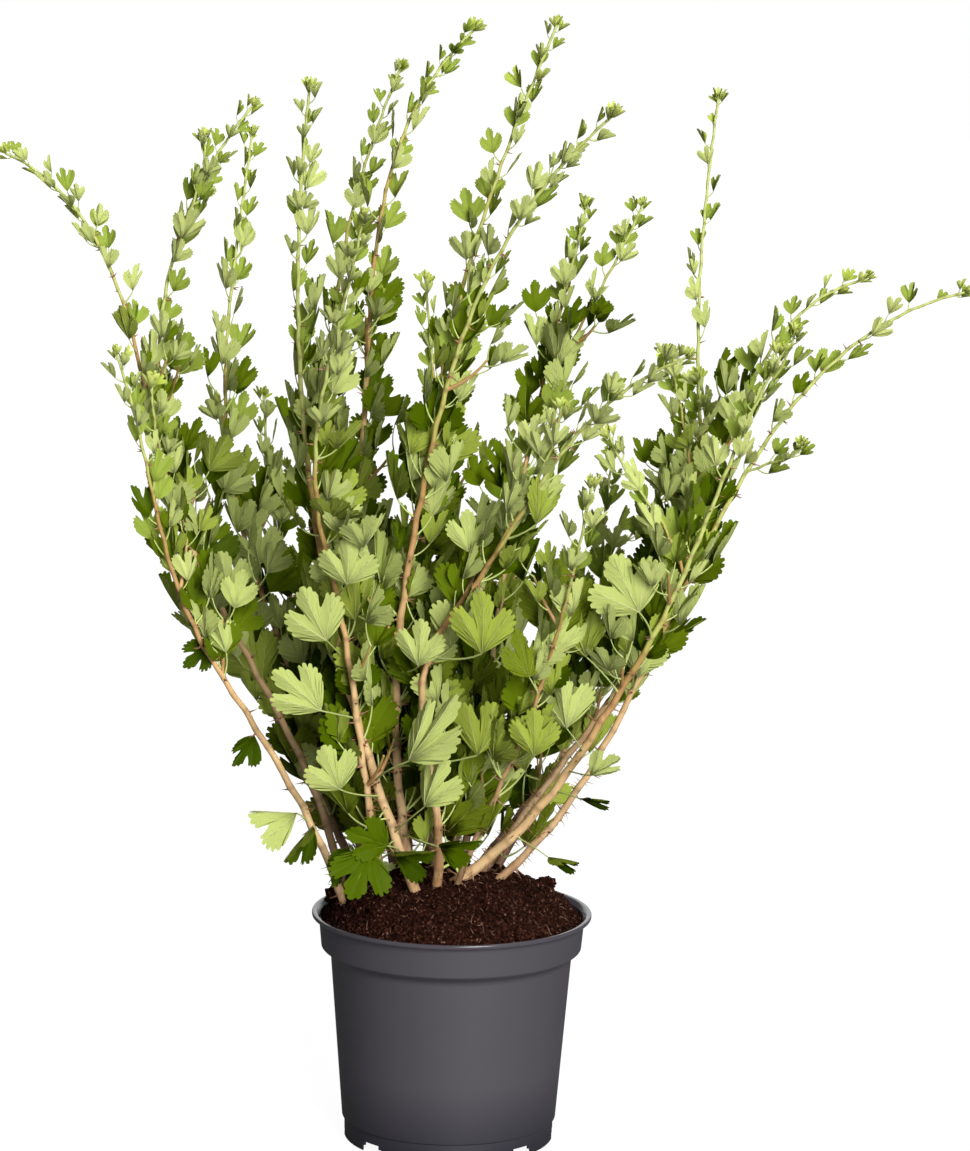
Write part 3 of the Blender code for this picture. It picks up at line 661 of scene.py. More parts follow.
# One row for each cane: foot x, y and sideways lean in degrees, then x, y, z and lean
# at its middle bend, then at its tip, then the bare share and the thickness
CANES = {
    "far_left": ((-0.086, 0.020, -10), (-0.240, 0.025, 0.560, -11), (-0.357, 0.030, 0.767, -69), 0.33, 1.0),
    "outer_left": ((-0.082, -0.030, -18), (-0.180, -0.060, 0.380, -32), (-0.255, -0.100, 0.627, -19),
                   0.44, 1.0),
    "left_high": ((-0.074, 0.040, -22), (-0.218, 0.088, 0.467, -20), (-0.168, 0.140, 0.806, 40), 0.20, 1.0),
    "left_thin": ((-0.064, 0.064, -22), (-0.162, 0.107, 0.424, -21), (-0.176, 0.220, 0.782, 6), 0.18, 0.8),
    "left_front": ((-0.028, -0.042, -20), (-0.103, -0.072, 0.474, -9), (-0.111, -0.130, 0.826, 6), 0.08, 1.1),
    "curl": ((-0.052, -0.030, -12), (-0.096, -0.105, 0.474, -14), (-0.068, -0.210, 0.737, 10), 0.14, 0.8),
    "tall_left": ((-0.046, 0.044, -12), (-0.092, 0.110, 0.443, -10), (-0.054, 0.240, 0.838, 22), 0.14, 0.9),
    "tall_mid": ((-0.036, 0.026, 0), (-0.081, 0.085, 0.506, 6), (0.010, 0.130, 0.870, 48), 0.12, 1.0),
    "tallest": ((-0.013, 0.034, -14), (-0.025, 0.039, 0.508, 4), (0.071, 0.050, 0.874, 22), 0.12, 1.0),
    "mid_front": ((-0.032, -0.012, -10), (-0.030, -0.080, 0.504, 10), (0.111, -0.170, 0.810, 49), 0.08, 1.1),
    "mid_back": ((-0.006, 0.056, 22), (0.035, 0.100, 0.419, 9), (0.101, 0.200, 0.729, 14), 0.10, 0.9),
    "bent": ((-0.012, -0.032, 8), (-0.002, -0.107, 0.435, 36), (0.165, -0.210, 0.640, 66), 0.12, 1.0),
    "tall_right": ((0.020, 0.042, 38), (0.194, 0.135, 0.543, -4), (0.206, 0.210, 0.819, 7), 0.26, 0.9),
    "right_spray": ((0.024, 0.018, 34), (0.194, 0.073, 0.485, 17), (0.326, 0.120, 0.675, 80), 0.24, 0.9),
    "right_front": ((0.004, -0.016, 52), (0.135, -0.069, 0.387, 29), (0.239, -0.120, 0.639, 27), 0.40, 1.15),
    "far_right": ((0.036, -0.006, 48), (0.163, -0.004, 0.414, 25), (0.388, -0.010, 0.675, 78), 0.30, 1.0),
    "short_left": ((-0.060, 0.012, -20), (-0.121, 0.136, 0.355, -21), (-0.166, 0.230, 0.565, -5), 0.15, 0.8),
    "inner": ((-0.022, 0.074, 0), (-0.006, 0.140, 0.388, -4), (-0.033, 0.250, 0.663, -6), 0.14, 0.8),
    "short_right": ((0.004, -0.030, 16), (0.064, -0.093, 0.375, 15), (0.098, -0.170, 0.545, 8), 0.12, 0.8),
    "back_left": ((-0.042, 0.078, -14), (-0.080, 0.170, 0.330, -10), (-0.105, 0.275, 0.540, -12), 0.16, 0.8),
    "back_mid": ((0.006, 0.078, 8), (0.040, 0.170, 0.330, 6), (0.050, 0.280, 0.560, 4), 0.16, 0.8),
    "back_right": ((0.034, 0.058, 30), (0.105, 0.150, 0.330, 16), (0.130, 0.255, 0.520, 14), 0.22, 0.8),
}

# Canes that are 10 to 30 percent slimmer than their row says
SLIM_CANES = {"outer_left": 0.78, "far_left": 0.80, "left_high": 0.85, "far_right": 0.74, "bent": 0.85,
              "short_right": 0.70, "right_front": 0.90, "left_front": 0.84, "mid_front": 0.88,
              "right_spray": 0.80, "tall_right": 0.80}

# How much sooner than the others the bark of these turns green, as a share of their age
GREEN_SOONER = {"right_front": 0.24, "far_right": 0.22, "bent": 0.20, "tall_right": 0.20, "curl": 0.18,
                "mid_front": 0.15, "left_front": 0.15, "left_high": 0.12, "left_thin": 0.10,
                "right_spray": 0.10}

# Painted shade at the foot: one cane darkened more than its place says; the others darken towards the back,
# where the bush shades them
PAINTED_SHADE_CANES = {"short_right": 0.8}

# Canes whose upper halves have fewer and smaller leaves: how long, beside the others
SPARSE_CANES = {"tall_right": 0.86, "far_right": 0.90}
SPARSE_FROM = 0.50

# Blades: length at the foot and tip of a cane, and how closely the leaves follow each other
BLADE_LOW = 0.055
BLADE_TIP = 0.0100
BLADE_TAPER = 0.76
JOINT_GAP_LEAST = 0.0055
JOINT_GAP_SHARE = 0.265
LEAF_TURN = math.radians(144.0)


def bezier(start, start_way, end, end_way, share):
    reach = (end - start).length * HANDLE
    first = start + start_way * reach
    second = end - end_way * reach
    rest = 1.0 - share
    return (start * rest ** 3 + first * (3.0 * rest * rest * share)
            + second * (3.0 * rest * share * share) + end * share ** 3)


def cane_route(row):
    foot, bend, tip = row[:3]
    root = Vector((foot[0], foot[1], soil_height(foot[0], foot[1])))
    stations = [root, Vector(bend[:3]), Vector(tip[:3])]
    length = (stations[1] - stations[0]).length + (stations[2] - stations[1]).length
    drift = (tip[1] - foot[1]) / length
    ways = [Vector((math.sin(math.radians(lean)), drift, math.cos(math.radians(lean))))
            for lean in (foot[2], bend[3], tip[3])]
    route = []
    for index in (0, 1):
        for step in range(ROUTE_STEPS + index):
            route.append(bezier(stations[index], ways[index], stations[index + 1],
                                ways[index + 1], step / ROUTE_STEPS))
    return route


def blade_length(share):
    return BLADE_TIP + (BLADE_LOW - BLADE_TIP) * (1.0 - share) ** BLADE_TAPER


def side_of(way):
    return way.cross(Vector((0.0, 1.0, 0.0))).normalized()


class Cane:
    """One shoot: its route, its joints and the small kink at each of them."""

    def __init__(self, name, route, bare, thick, chance, brown=0.0):
        self.name = name
        self.route = route
        self.thick = thick
        self.brown = brown
        self.marks = [0.0]
        for first, second in zip(self.route, self.route[1:]):
            self.marks.append(self.marks[-1] + (second - first).length)
        self.length = self.marks[-1]
        self.last = 1.0 - BUD_LENGTH / self.length
        self.young = max(0.0, 1.0 - self.length / SHORTEST_CANE)
        self.turn = chance.uniform(0.0, 2.0 * math.pi)
        self.green_from = chance.uniform(-0.06, 0.06)
        self.green_sooner = GREEN_SOONER.get(name, 0.0)
        self.leafy_from = bare if bare > LEAST_BARE else FIRST_JOINT
        self.joints = self.find_joints()

    def find_joints(self):
        """Shares of the length where a leaf grows, or grew on the bare foot."""
        joints = []
        share = FIRST_JOINT
        while share < self.last - BUD_LENGTH / self.length:
            joints.append(share)
            share += (JOINT_GAP_LEAST + JOINT_GAP_SHARE * blade_length(self.age(share))) / self.length
        return joints

    def age(self, share):
        """0 on the oldest wood and 1 at any tip; a short side shoot is young all along."""
        return self.young + (1.0 - self.young) * share

    def place(self, share):
        target = share * self.length
        index = 0
        while index < len(self.marks) - 2 and self.marks[index + 1] < target:
            index += 1
        span = self.marks[index + 1] - self.marks[index]
        part = (target - self.marks[index]) / span
        way = (self.route[index + 1] - self.route[index]).normalized()
        return self.route[index].lerp(self.route[index + 1], part), way

    def side(self, share, turn):
        way = self.place(share)[1]
        return Matrix.Rotation(turn, 3, way) @ side_of(way)

    def joint_turn(self, number):
        return self.turn + number * LEAF_TURN

    def radius(self, share):
        flare = 1.0 + FOOT_FLARE * max(0.0, 1.0 - share * self.length / FOOT_FLARE_LENGTH)
        full = CANE_RADIUS * self.thick
        return (CANE_TIP_RADIUS + (full - CANE_TIP_RADIUS) * (1.0 - self.age(share)) ** CANE_TAPER) * flare

    def kinked(self, share):
        """The point at a share with its zigzag, which swings to each joint's side in turn."""
        point, way = self.place(share)
        after = 0
        while after < len(self.joints) and self.joints[after] < share:
            after += 1
        if after in (0, len(self.joints)):
            return point, way
        low, high = self.joints[after - 1], self.joints[after]
        part = (share - low) / (high - low)
        swing = (self.side(share, self.joint_turn(after - 1)) * (1.0 - part)
                 + self.side(share, self.joint_turn(after)) * part)
        grow = min(1.0, share / 0.1) * (0.4 + 0.6 * (1.0 - share))
        return point + swing * ZIGZAG * grow, way

    def line(self):
        """Points from under the peat to the tip, with thickness, age, joint and painted shade values."""
        count = int(self.length * self.last / CANE_STEP)
        points, thick, age, joint, brown = [], [], [], [], []
        start, way = self.place(0.0)
        points.append(start - way * UNDER_PEAT)
        thick.append(self.radius(0.0) * 1.05)
        age.append(self.age(0.0))
        joint.append(0.0)
        brown.append(self.brown)
        for step in range(count + 1):
            share = self.last * step / count
            near = min(abs(share - mark) for mark in self.joints) * self.length
            bulge = max(0.0, 1.0 - near / JOINT_WIDTH)
            points.append(self.kinked(share)[0])
            thick.append(self.radius(share) * (1.0 + JOINT_SWELL * bulge * bulge))
            sooner = self.green_sooner * min(1.0, max(0.0, (self.age(share) - 0.30) / 0.20))
            age.append(min(1.0, max(0.0, self.age(share) + self.green_from + sooner)))
            joint.append(max(0.0, 1.0 - near / JOINT_MARK))
            brown.append(self.brown * max(0.0, 1.0 - share / PAINTED_SHADE_UNTIL))
        return points, {"thickness": thick, "age": age, "joint": joint, "brown": brown}


def bark_finish():
    material, tree, shader = new_finish("cane_bark", (0.5, 0.3, 0.16), 0.62)
    age = add_node(tree, "ShaderNodeAttribute", attribute_name="age")
    streak = noise_node(tree, 420.0, 5.0, (1.0, 1.0, 0.10))
    blotch = noise_node(tree, 55.0, 3.0, (1.0, 1.0, 0.4))
    flow = age.outputs["Fac"]
    for pattern, reach in ((streak, 0.10), (blotch, 0.16)):
        total = add_node(tree, "ShaderNodeMath", operation="ADD")
        tree.links.new(flow, total.inputs[0])
        wire(tree, (range_node(tree, pattern.outputs["Fac"], -reach, reach), "Result", total, 1))
        flow = total.outputs["Value"]
    colour = ramp_node(tree, flow, [
        (0.00, (0.50, 0.28, 0.13)), (0.10, (0.82, 0.56, 0.29)), (0.42, (0.76, 0.48, 0.21)),
        (0.56, (0.56, 0.31, 0.12)), (0.70, (0.48, 0.30, 0.09)), (0.78, (0.56, 0.50, 0.13)),
        (0.86, (0.58, 0.65, 0.19))])
    flow = colour.outputs["Color"]
    # Dark joint rings, then the painted shade that darkens the feet of the canes further back
    for label, dark, most in (("joint", (0.16, 0.07, 0.03), 0.55), ("brown", (0.10, 0.05, 0.025), 0.85)):
        mask = add_node(tree, "ShaderNodeAttribute", attribute_name=label)
        mix = add_node(tree, "ShaderNodeMix", data_type="RGBA")
        plain, stain_or_shade = [socket for socket in mix.inputs if socket.type == "RGBA"]
        stain_or_shade.default_value = (*dark, 1.0)
        wire(tree, (range_node(tree, mask.outputs["Fac"], 0.0, most), "Result", mix, "Factor"))
        tree.links.new(flow, plain)
        flow = [socket for socket in mix.outputs if socket.type == "RGBA"][0]
    tree.links.new(flow, shader.inputs["Base Color"])
    wire(tree, (range_node(tree, streak.outputs["Fac"], 0.45, 0.80), "Result", shader, "Roughness"))
    crack = add_bump(tree, shader, streak.outputs["Fac"], 0.5, 0.0006)
    add_bump(tree, shader, noise_node(tree, 1500.0, 2.0).outputs["Fac"], 0.2, 0.0002, crack)
    return material


cane_chance = random.Random(11)
canes = []
for name, row in CANES.items():
    # Painted shade: canes whose feet stand further back get darker feet
    painted_shade_foot = PAINTED_SHADE_CANES.get(name, min(1.0, max(0.0, (row[0][1] + 0.02) / 0.05)))
    slim = SLIM_CANES.get(name, 1.0)
    canes.append(Cane(name, cane_route(row), row[3], row[4] * slim, cane_chance, painted_shade_foot))
bark = bark_finish()
for cane in canes:
    cane_line = Lines("age", "joint", "brown")
    points, values = cane.line()
    cane_line.add(points, **values)
    wood = limbs("wood_" + cane.name, cane_line, CANE_SIDES, bark, BARK_RELIEF, BARK_GRAIN)
    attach(wood, "root")
    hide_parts("cane_" + cane.name)

# Thorns
# One to three thin brown thorns stand under most joints but the youngest, grown from the bark.
# Thinner prickles cover the lowest fifth of every cane.

THORNS_UNTIL = 0.86
PRICKLES_UNTIL = 0.20
PRICKLE_RADIUS = 0.00035
PRICKLE_GAP = 0.0022
THORN_LENGTHS = (0.0045, 0.0105)
THORN_RADIUS = 0.00062


def thorn_finish():
    material, tree, shader, mottle = mottled_finish(
        "thorn", (0.30, 0.14, 0.06), 0.5, 260.0, 2.0,
        [(0.35, (0.17, 0.07, 0.035)), (0.65, (0.48, 0.27, 0.13))])
    add_bump(tree, shader, mottle, 0.3, 0.0002)
    return material


def thorn_lines(chance):
    lines = Lines()
    for cane in canes:
        for number, share in enumerate(cane.joints):
            if share > THORNS_UNTIL or chance.random() < 0.15 + 0.3 * share:
                continue
            base, way = cane.kinked(share)
            for aside in ((0.0,), (0.0,), (-0.5, 0.45), (-0.8, 0.0, 0.8))[chance.randrange(4)]:
                side = cane.side(share, cane.joint_turn(number) + aside + chance.uniform(-0.2, 0.2))
                length = chance.uniform(*THORN_LENGTHS) * (1.1 - 0.5 * share)
                root = base - way * 0.002 + side * cane.radius(share) * 0.8
                out = (side + way * chance.uniform(-0.30, 0.25)).normalized()
                points = [root, root + out * length * 0.35, root + out * length * 0.7 + way * 0.0002,
                          root + out * length + way * 0.0006]
                wide = THORN_RADIUS * (1.25 - 0.5 * share)
                lines.add(points, thickness=[wide * 1.5, wide * 0.8, wide * 0.45, wide * 0.08])
        for _ in range(int(PRICKLES_UNTIL * cane.length / PRICKLE_GAP)):
            share = chance.uniform(0.005, PRICKLES_UNTIL)
            base, way = cane.kinked(share)
            side = cane.side(share, chance.uniform(0.0, 2.0 * math.pi))
            root = base + side * cane.radius(share) * 0.8
            tip = root + (side + way * chance.uniform(-0.5, 0.3)) * chance.uniform(0.003, 0.0075)
            lines.add([root, root.lerp(tip, 0.5), tip],
                      thickness=[PRICKLE_RADIUS, PRICKLE_RADIUS * 0.7, PRICKLE_RADIUS * 0.2])
    return lines


thorns = limbs("thorns", thorn_lines(random.Random(31)), 5, thorn_finish())
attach(thorns, "root")

# Leaf blades
# Each blade has three lobes with rounded teeth, is folded along its midrib and pleated between
# its veins, dark above and pale below. It grows on a soft stalk from a joint of its cane.

# Half outlines from tip to base, along and across the midrib, as shares of the blade's length
FINE_OUTLINE = (
    (1.000, 0.000), (0.985, 0.055), (0.925, 0.076), (0.948, 0.130), (0.912, 0.166), (0.848, 0.156),
    (0.850, 0.208), (0.802, 0.232), (0.752, 0.206), (0.688, 0.186), (0.622, 0.176), (0.582, 0.194),
    (0.622, 0.262), (0.678, 0.324), (0.740, 0.374), (0.746, 0.420), (0.684, 0.424), (0.734, 0.496),
    (0.698, 0.542), (0.626, 0.506), (0.646, 0.582), (0.600, 0.618), (0.538, 0.562), (0.528, 0.628),
    (0.480, 0.646), (0.430, 0.582), (0.404, 0.628), (0.350, 0.616), (0.318, 0.556), (0.276, 0.548),
    (0.226, 0.492), (0.166, 0.404), (0.110, 0.302), (0.064, 0.188), (0.030, 0.092), (0.010, 0.030))
PLAIN_OUTLINE = (
    (1.000, 0.000), (0.980, 0.068), (0.915, 0.084), (0.925, 0.152), (0.848, 0.158), (0.830, 0.214),
    (0.745, 0.194), (0.640, 0.174), (0.582, 0.194), (0.640, 0.290), (0.735, 0.368), (0.742, 0.420),
    (0.680, 0.428), (0.708, 0.520), (0.626, 0.510), (0.628, 0.600), (0.546, 0.570), (0.500, 0.626),
    (0.430, 0.580), (0.368, 0.598), (0.304, 0.540), (0.190, 0.428), (0.092, 0.256), (0.024, 0.074))
SMALL_OUTLINE = ((1.00, 0.00), (0.95, 0.12), (0.82, 0.18), (0.66, 0.16), (0.60, 0.20), (0.70, 0.34),
                 (0.745, 0.46), (0.66, 0.54), (0.50, 0.56), (0.31, 0.45), (0.13, 0.20))
VEIN_ANGLES = (0.0, 36.0, -36.0)

# Side veins of the right half, from and to: degrees off the midrib and share of the length
SIDE_VEINS = (((0, 0.40), (11, 0.74)), ((0, 0.54), (9.5, 0.85)), ((0, 0.72), (5, 0.93)),
              ((36, 0.20), (57, 0.58)), ((36, 0.40), (28, 0.76)), ((36, 0.34), (50, 0.74)),
              ((36, 0.52), (43, 0.84)), ((36, 0.58), (33.5, 0.84)))
CLEFT_ANGLE = 18.4
CLEFT_WIDTH = 5.5
VEIN_RADIUS = 0.013
BLADE_THICKNESS = 0.012


def pleat(degrees):
    """0 on a vein, 1 half way between two veins."""
    nearest = min(abs(degrees - vein) for vein in VEIN_ANGLES)
    return math.sin(min(1.0, nearest / 18.0) * 0.5 * math.pi)


class BladeForm:
    """How one template blade bends: all as shares of its length."""

    def __init__(self, chance, lobes):
        self.fold = chance.choice((0.05, 0.12, 0.22, 0.40, 0.75)) * chance.uniform(0.8, 1.2)
        self.ridge = chance.uniform(0.04, 0.11) * lobes
        self.curl = chance.uniform(-0.10, 0.16)
        self.wave = chance.uniform(0.02, 0.06)
        self.phase = chance.uniform(0.0, 6.28)
        self.skew = chance.uniform(-0.10, 0.10)
        self.wedge = chance.uniform(0.0, 0.45)
        self.splay = chance.uniform(0.94, 1.14) if lobes == 1.0 else chance.uniform(0.80, 1.04)
        self.cleft = chance.uniform(-0.12, 0.16)

    def cut(self, degrees, radius):
        """The outline's reach with a deeper or shallower cleft between its lobes."""
        away = (degrees - CLEFT_ANGLE) / CLEFT_WIDTH
        return radius * (1.0 - self.cleft * math.exp(-away * away))

    def point(self, degrees, radius):
        turn = math.radians(degrees * self.splay)
        x = radius * math.cos(turn)
        y = radius * math.sin(turn) * (1.0 - self.wedge * (1.0 - x) ** 2)
        z = self.fold * abs(y) + self.ridge * radius * pleat(degrees)
        z += self.curl * x * abs(x) + self.wave * radius * radius * math.sin(3.0 * turn + self.phase)
        return Vector((x, y + self.skew * x * x, z))


def blade_template(name, half, rings, form, veins):
    """A closed blade along +X from its stalk, upper side +Z; faces say 0 upper, 1 under, 2 vein."""
    half = [(math.degrees(math.atan2(y, x)), math.hypot(x, y)) for x, y in half]
    outline = [(degrees, form.cut(degrees, radius)) for degrees, radius in half]
    outline = outline[::-1] + [(-degrees, form.cut(degrees, radius)) for degrees, radius in half[1:]]
    shape = bmesh.new()
    side = shape.faces.layers.int.new("side")

    def face(corners, value):
        made = shape.faces.new(corners)
        made[side] = value
        made.smooth = True

    drop = Vector((0.0, 0.0, -BLADE_THICKNESS))
    rim = [shape.verts.new(form.point(degrees, radius)) for degrees, radius in outline]
    seams = []
    for sheet in (0, 1):
        middle = shape.verts.new(drop * sheet)
        inner = [[shape.verts.new(form.point(degrees, radius * ring) + drop * sheet * (1.0 - 0.3 * ring))
                  for degrees, radius in outline] for ring in rings]
        chain = inner + [rim]
        for first, second in zip(range(len(rim) - 1), range(1, len(rim))):
            order = 1 if sheet == 0 else -1
            face([middle, chain[0][second], chain[0][first]][::order], sheet)
            for low, high in zip(chain, chain[1:]):
                face([low[first], low[second], high[second], high[first]][::order], sheet)
        seams.append([[middle] + [row[end] for row in inner] for end in (0, -1)])
    for number, (top, low) in enumerate(zip(*seams)):
        corner = rim[0] if number == 0 else rim[-1]
        top, low = top + [corner], low + [corner]
        for index in range(len(top) - 1):
            quad = [top[index], top[index + 1], low[index + 1], low[index]]
            quad = [v for i, v in enumerate(quad) if v not in quad[:i]]
            face(quad[::-1] if number == 0 else quad, 1)
    bmesh.ops.recalc_face_normals(shape, faces=shape.faces)
    rim_points = set(rim)
    for edge in shape.edges:
        edge.smooth = not rim_points.issuperset(edge.verts)
    for vein in veins:
        add_vein(shape, side, form, drop, *vein)
    return mesh_from(shape, name)


def add_vein(shape, side, form, drop, start, end, width, above, steps):
    """A raised three-sided vein between two (degrees, radius) spots, under or on the blade."""
    rings = []
    lift = Vector((0.0, 0.0, 1.0 if above else -1.0))
    for step in range(steps + 1):
        share = step / steps
        degrees = start[0] + (end[0] - start[0]) * share
        radius = start[1] + (end[1] - start[1]) * share
        spot = form.point(degrees, radius) + (Vector() if above else drop * (1.0 - 0.3 * radius))
        nearby = form.point(degrees, radius + 0.01) - form.point(degrees, radius)
        across = nearby.cross(Vector((0.0, 0.0, 1.0))).normalized()
        wide = width * (1.0 - 0.75 * share)
        rings.append([shape.verts.new(spot + across * wide - lift * wide * 0.3),
                      shape.verts.new(spot - across * wide - lift * wide * 0.3),
                      shape.verts.new(spot + lift * wide * (0.70 if above else 0.55))])
    made = []
    for low, high in zip(rings, rings[1:]):
        for corner in range(3):
            after = (corner + 1) % 3
            made.append(shape.faces.new((low[corner], low[after], high[after], high[corner])))
    made.append(shape.faces.new(rings[0][::-1]))
    made.append(shape.faces.new(rings[-1]))
    bmesh.ops.recalc_face_normals(shape, faces=made)
    for one in made:
        one[side] = 1 if above else 2
        one.smooth = True


def main_veins(above, width, steps):
    return [((degrees, 0.0), (degrees, 0.80 if degrees else 0.93), width * (0.8 if degrees else 1.0),
             above, steps) for degrees in VEIN_ANGLES]


def side_veins(width):
    return [((sign * root[0], root[1]), (sign * end[0], end[1]), width, False, 1)
            for sign in (1, -1) for root, end in SIDE_VEINS]


def make_blades():
    """Template meshes, large ones first: six large, six middle and five small."""
    chance = random.Random(41)
    meshes = []
    for _ in range(6):
        veins = main_veins(False, VEIN_RADIUS, 3) + side_veins(0.0055) + main_veins(True, 0.008, 3)
        meshes.append(blade_template("large_blade", FINE_OUTLINE, (0.55,), BladeForm(chance, 1.0), veins))
    for _ in range(6):
        veins = main_veins(False, 0.017, 2) + side_veins(0.0075)[::2]
        meshes.append(blade_template("middle_blade", PLAIN_OUTLINE, (0.5,), BladeForm(chance, 1.05), veins))
    for _ in range(5):
        form = BladeForm(chance, 1.4)
        form.fold = chance.uniform(0.25, 0.80)
        veins = [((0.0, 0.0), (0.0, 0.9), 0.020, False, 1)]
        meshes.append(blade_template("small_blade", SMALL_OUTLINE, (), form, veins))
    return meshes


# Where each kind of template starts and how many it has, and the least length of the larger two
KINDS = {"large": (0, 6), "middle": (6, 6), "small": (12, 5)}
LARGE_FROM = 0.032
MIDDLE_FROM = 0.0165

# Base colours of the upper side, underside and veins, from old leaves low down and leaves darkened by painted
# shade deep inside the bush, to the tips
# The undersides are pale as on the real leaf, and made paler still as painted light that stands in for light
# through the thin blade
TINTS = (
    ((0.046, 0.084, 0.001), (0.155, 0.205, 0.010), (0.34, 0.41, 0.09)),
    ((0.074, 0.122, 0.001), (0.310, 0.385, 0.052), (0.56, 0.62, 0.20)),
    ((0.120, 0.178, 0.004), (0.475, 0.555, 0.165), (0.78, 0.82, 0.40)),
    ((0.305, 0.395, 0.060), (0.555, 0.635, 0.205), (0.78, 0.82, 0.40)),
    ((0.460, 0.560, 0.090), (0.650, 0.730, 0.190), (0.72, 0.78, 0.28)),
)


def leaf_finish(name, colour, roughness, grain):
    material, tree, shader = new_finish(name, colour, roughness)
    shader.inputs["Specular IOR Level"].default_value = 0.05
    add_bump(tree, shader, noise_node(tree, grain, 3.0).outputs["Fac"], 0.45, 0.0007)
    return material


def leaves_tree():
    """Puts the picked blade on every point, turned and sized as the point says."""
    finishes = [f"{part} {tint}" for tint in range(len(TINTS)) for part in ("Upper", "Under", "Vein")]
    tree, start, end = node_tree("blades on stalks",
                                 [("Blades", "Collection")] + [(name, "Material") for name in finishes])

    def attribute(name, kind):
        node = add_node(tree, "GeometryNodeInputNamedAttribute", {"Name": name}, data_type=kind)
        return live(node.outputs)[0]

    def equals(source, value):
        node = add_node(tree, "FunctionNodeCompare", data_type="INT", operation="EQUAL")
        sockets = live(node.inputs)
        tree.links.new(source, sockets[0])
        sockets[1].default_value = value
        return node.outputs["Result"]

    shapes, put, real = picking_nodes(tree)
    to_rotation = add_node(tree, "FunctionNodeEulerToRotation")
    wire(tree, (start, "Blades", shapes, "Collection"), (start, "Geometry", put, "Points"),
         (to_rotation, "Rotation", put, "Rotation"))
    for source, target in ((attribute("turn", "FLOAT_VECTOR"), to_rotation.inputs["Euler"]),
                           (attribute("pick", "INT"), put.inputs["Instance Index"]),
                           (attribute("size", "FLOAT_VECTOR"), put.inputs["Scale"])):
        tree.links.new(source, target)
    flow = real
    side = attribute("side", "INT")
    tint = attribute("tint", "INT")
    for number in range(len(TINTS)):
        for value, part in enumerate(("Upper", "Under", "Vein")):
            both = add_node(tree, "FunctionNodeBooleanMath")
            tree.links.new(equals(side, value), both.inputs[0])
            tree.links.new(equals(tint, number), both.inputs[1])
            finish = add_node(tree, "GeometryNodeSetMaterial")
            wire(tree, (flow, "Geometry", finish, "Geometry"), (both, "Boolean", finish, "Selection"),
                 (start, f"{part} {number}", finish, "Material"))
            flow = finish
    wire(tree, (flow, "Geometry", end, "Geometry"))
    return tree


class Spray:
    """The leaves of some canes: where each blade sits, and the lines of their stalks."""

    def __init__(self, name):
        self.name = name
        self.rows = []
        self.stalks = Lines()
        self.twigs = Lines("age", "joint", "brown")

    def mesh(self):
        mesh = bpy.data.meshes.new(self.name)
        mesh.from_pydata([row[0] for row in self.rows], [], [])
        for index, label in ((1, "turn"), (2, "size")):
            flat = [value for row in self.rows for value in row[index]]
            mesh.attributes.new(label, "FLOAT_VECTOR", "POINT").data.foreach_set("vector", flat)
        for index, label in ((3, "pick"), (4, "tint")):
            rows = [row[index] for row in self.rows]
            mesh.attributes.new(label, "INT", "POINT").data.foreach_set("value", rows)
        return mesh


SPREAD_LOW = 0.20
SPREAD_TIP = 0.48
STALK_SPREAD = 0.60
STALK_LOW = 0.66
STALK_TIP = 0.36
STALK_RADIUS = 0.00080
ROLL = 0.50
OUTWARD = 1.30
SHOWN_CANES = ("left_front", "mid_front", "bent", "right_front", "outer_left")
SHOWN_GAP = 0.0060
SHOWN_GAP_SHARE = 0.22
SHOWN_DEPTH = 0.002
SHOWN_BARE = 0.95
VIEW_DISTANCE = 2.70
VIEW_HEIGHT = 0.86
FACE_OPEN = 0.30
FACE_BARE = 0.78
BLADE_WIDTH = 0.86
UPWARD = Vector((0.0, 0.0, 1.0))


def outward_way(point):
    return Vector((point.x, point.y - 0.03, 0.0)).normalized()


def seen_place(point):
    """Where a point is seen from the front, aside and up in metres at the pot's middle."""
    scale = VIEW_DISTANCE / (VIEW_DISTANCE + point.y)
    return point.x * scale, (point.z - VIEW_HEIGHT) * scale


def hides_cane(middle, length, chance):
    """Whether a blade's middle stands before one of the outer canes that are seen from the front."""
    x, z = seen_place(middle)
    for point in shown_points:
        if point.y < middle.y - SHOWN_DEPTH:
            continue
        cane_x, cane_z = seen_place(point)
        if math.hypot(cane_x - x, cane_z - z) < SHOWN_GAP + SHOWN_GAP_SHARE * length:
            return chance.random() < SHOWN_BARE
    return False


def kind_of(length):
    if length > LARGE_FROM:
        return KINDS["large"]
    if length > MIDDLE_FROM:
        return KINDS["middle"]
    return KINDS["small"]


def stalk_points(root, first_way, end, end_way):
    """A line that leaves the root along one way and comes to its end along another."""
    reach = (end - root).length * 0.45
    middle = (root + first_way * reach + end - end_way * reach) * 0.5
    return [bowed(root, middle, end, step / 5) for step in range(6)]


def add_stalk(spray, points, length):
    thick = STALK_RADIUS * (0.45 + 0.75 * min(1.0, length / BLADE_LOW))
    spray.stalks.add(points, thickness=[thick * share for share in (1.5, 1.05, 0.95, 0.9, 0.85, 0.8)])


def add_leaf(spray, root, way, side, spread, stalk, length, tint, chance):
    """A stalk that stands off the limb and bends up into the blade, underside outward."""
    first_way = way * math.cos(spread + STALK_SPREAD) + side * math.sin(spread + STALK_SPREAD)
    along = way * math.cos(spread) + side * math.sin(spread) + UPWARD * (0.10 + 0.35 * (1.0 - way.z))
    along.normalize()
    base = root + (first_way + along * 0.8).normalized() * stalk
    if hides_cane(base + along * length * 0.45, length, chance):
        return
    add_stalk(spray, stalk_points(root, first_way, base, along), length)
    under = side + outward_way(base) * OUTWARD * chance.random()
    top = (along * under.dot(along) - under).normalized()
    put_blade(spray, base, along, top, chance.uniform(-ROLL, ROLL), length, tint, chance)


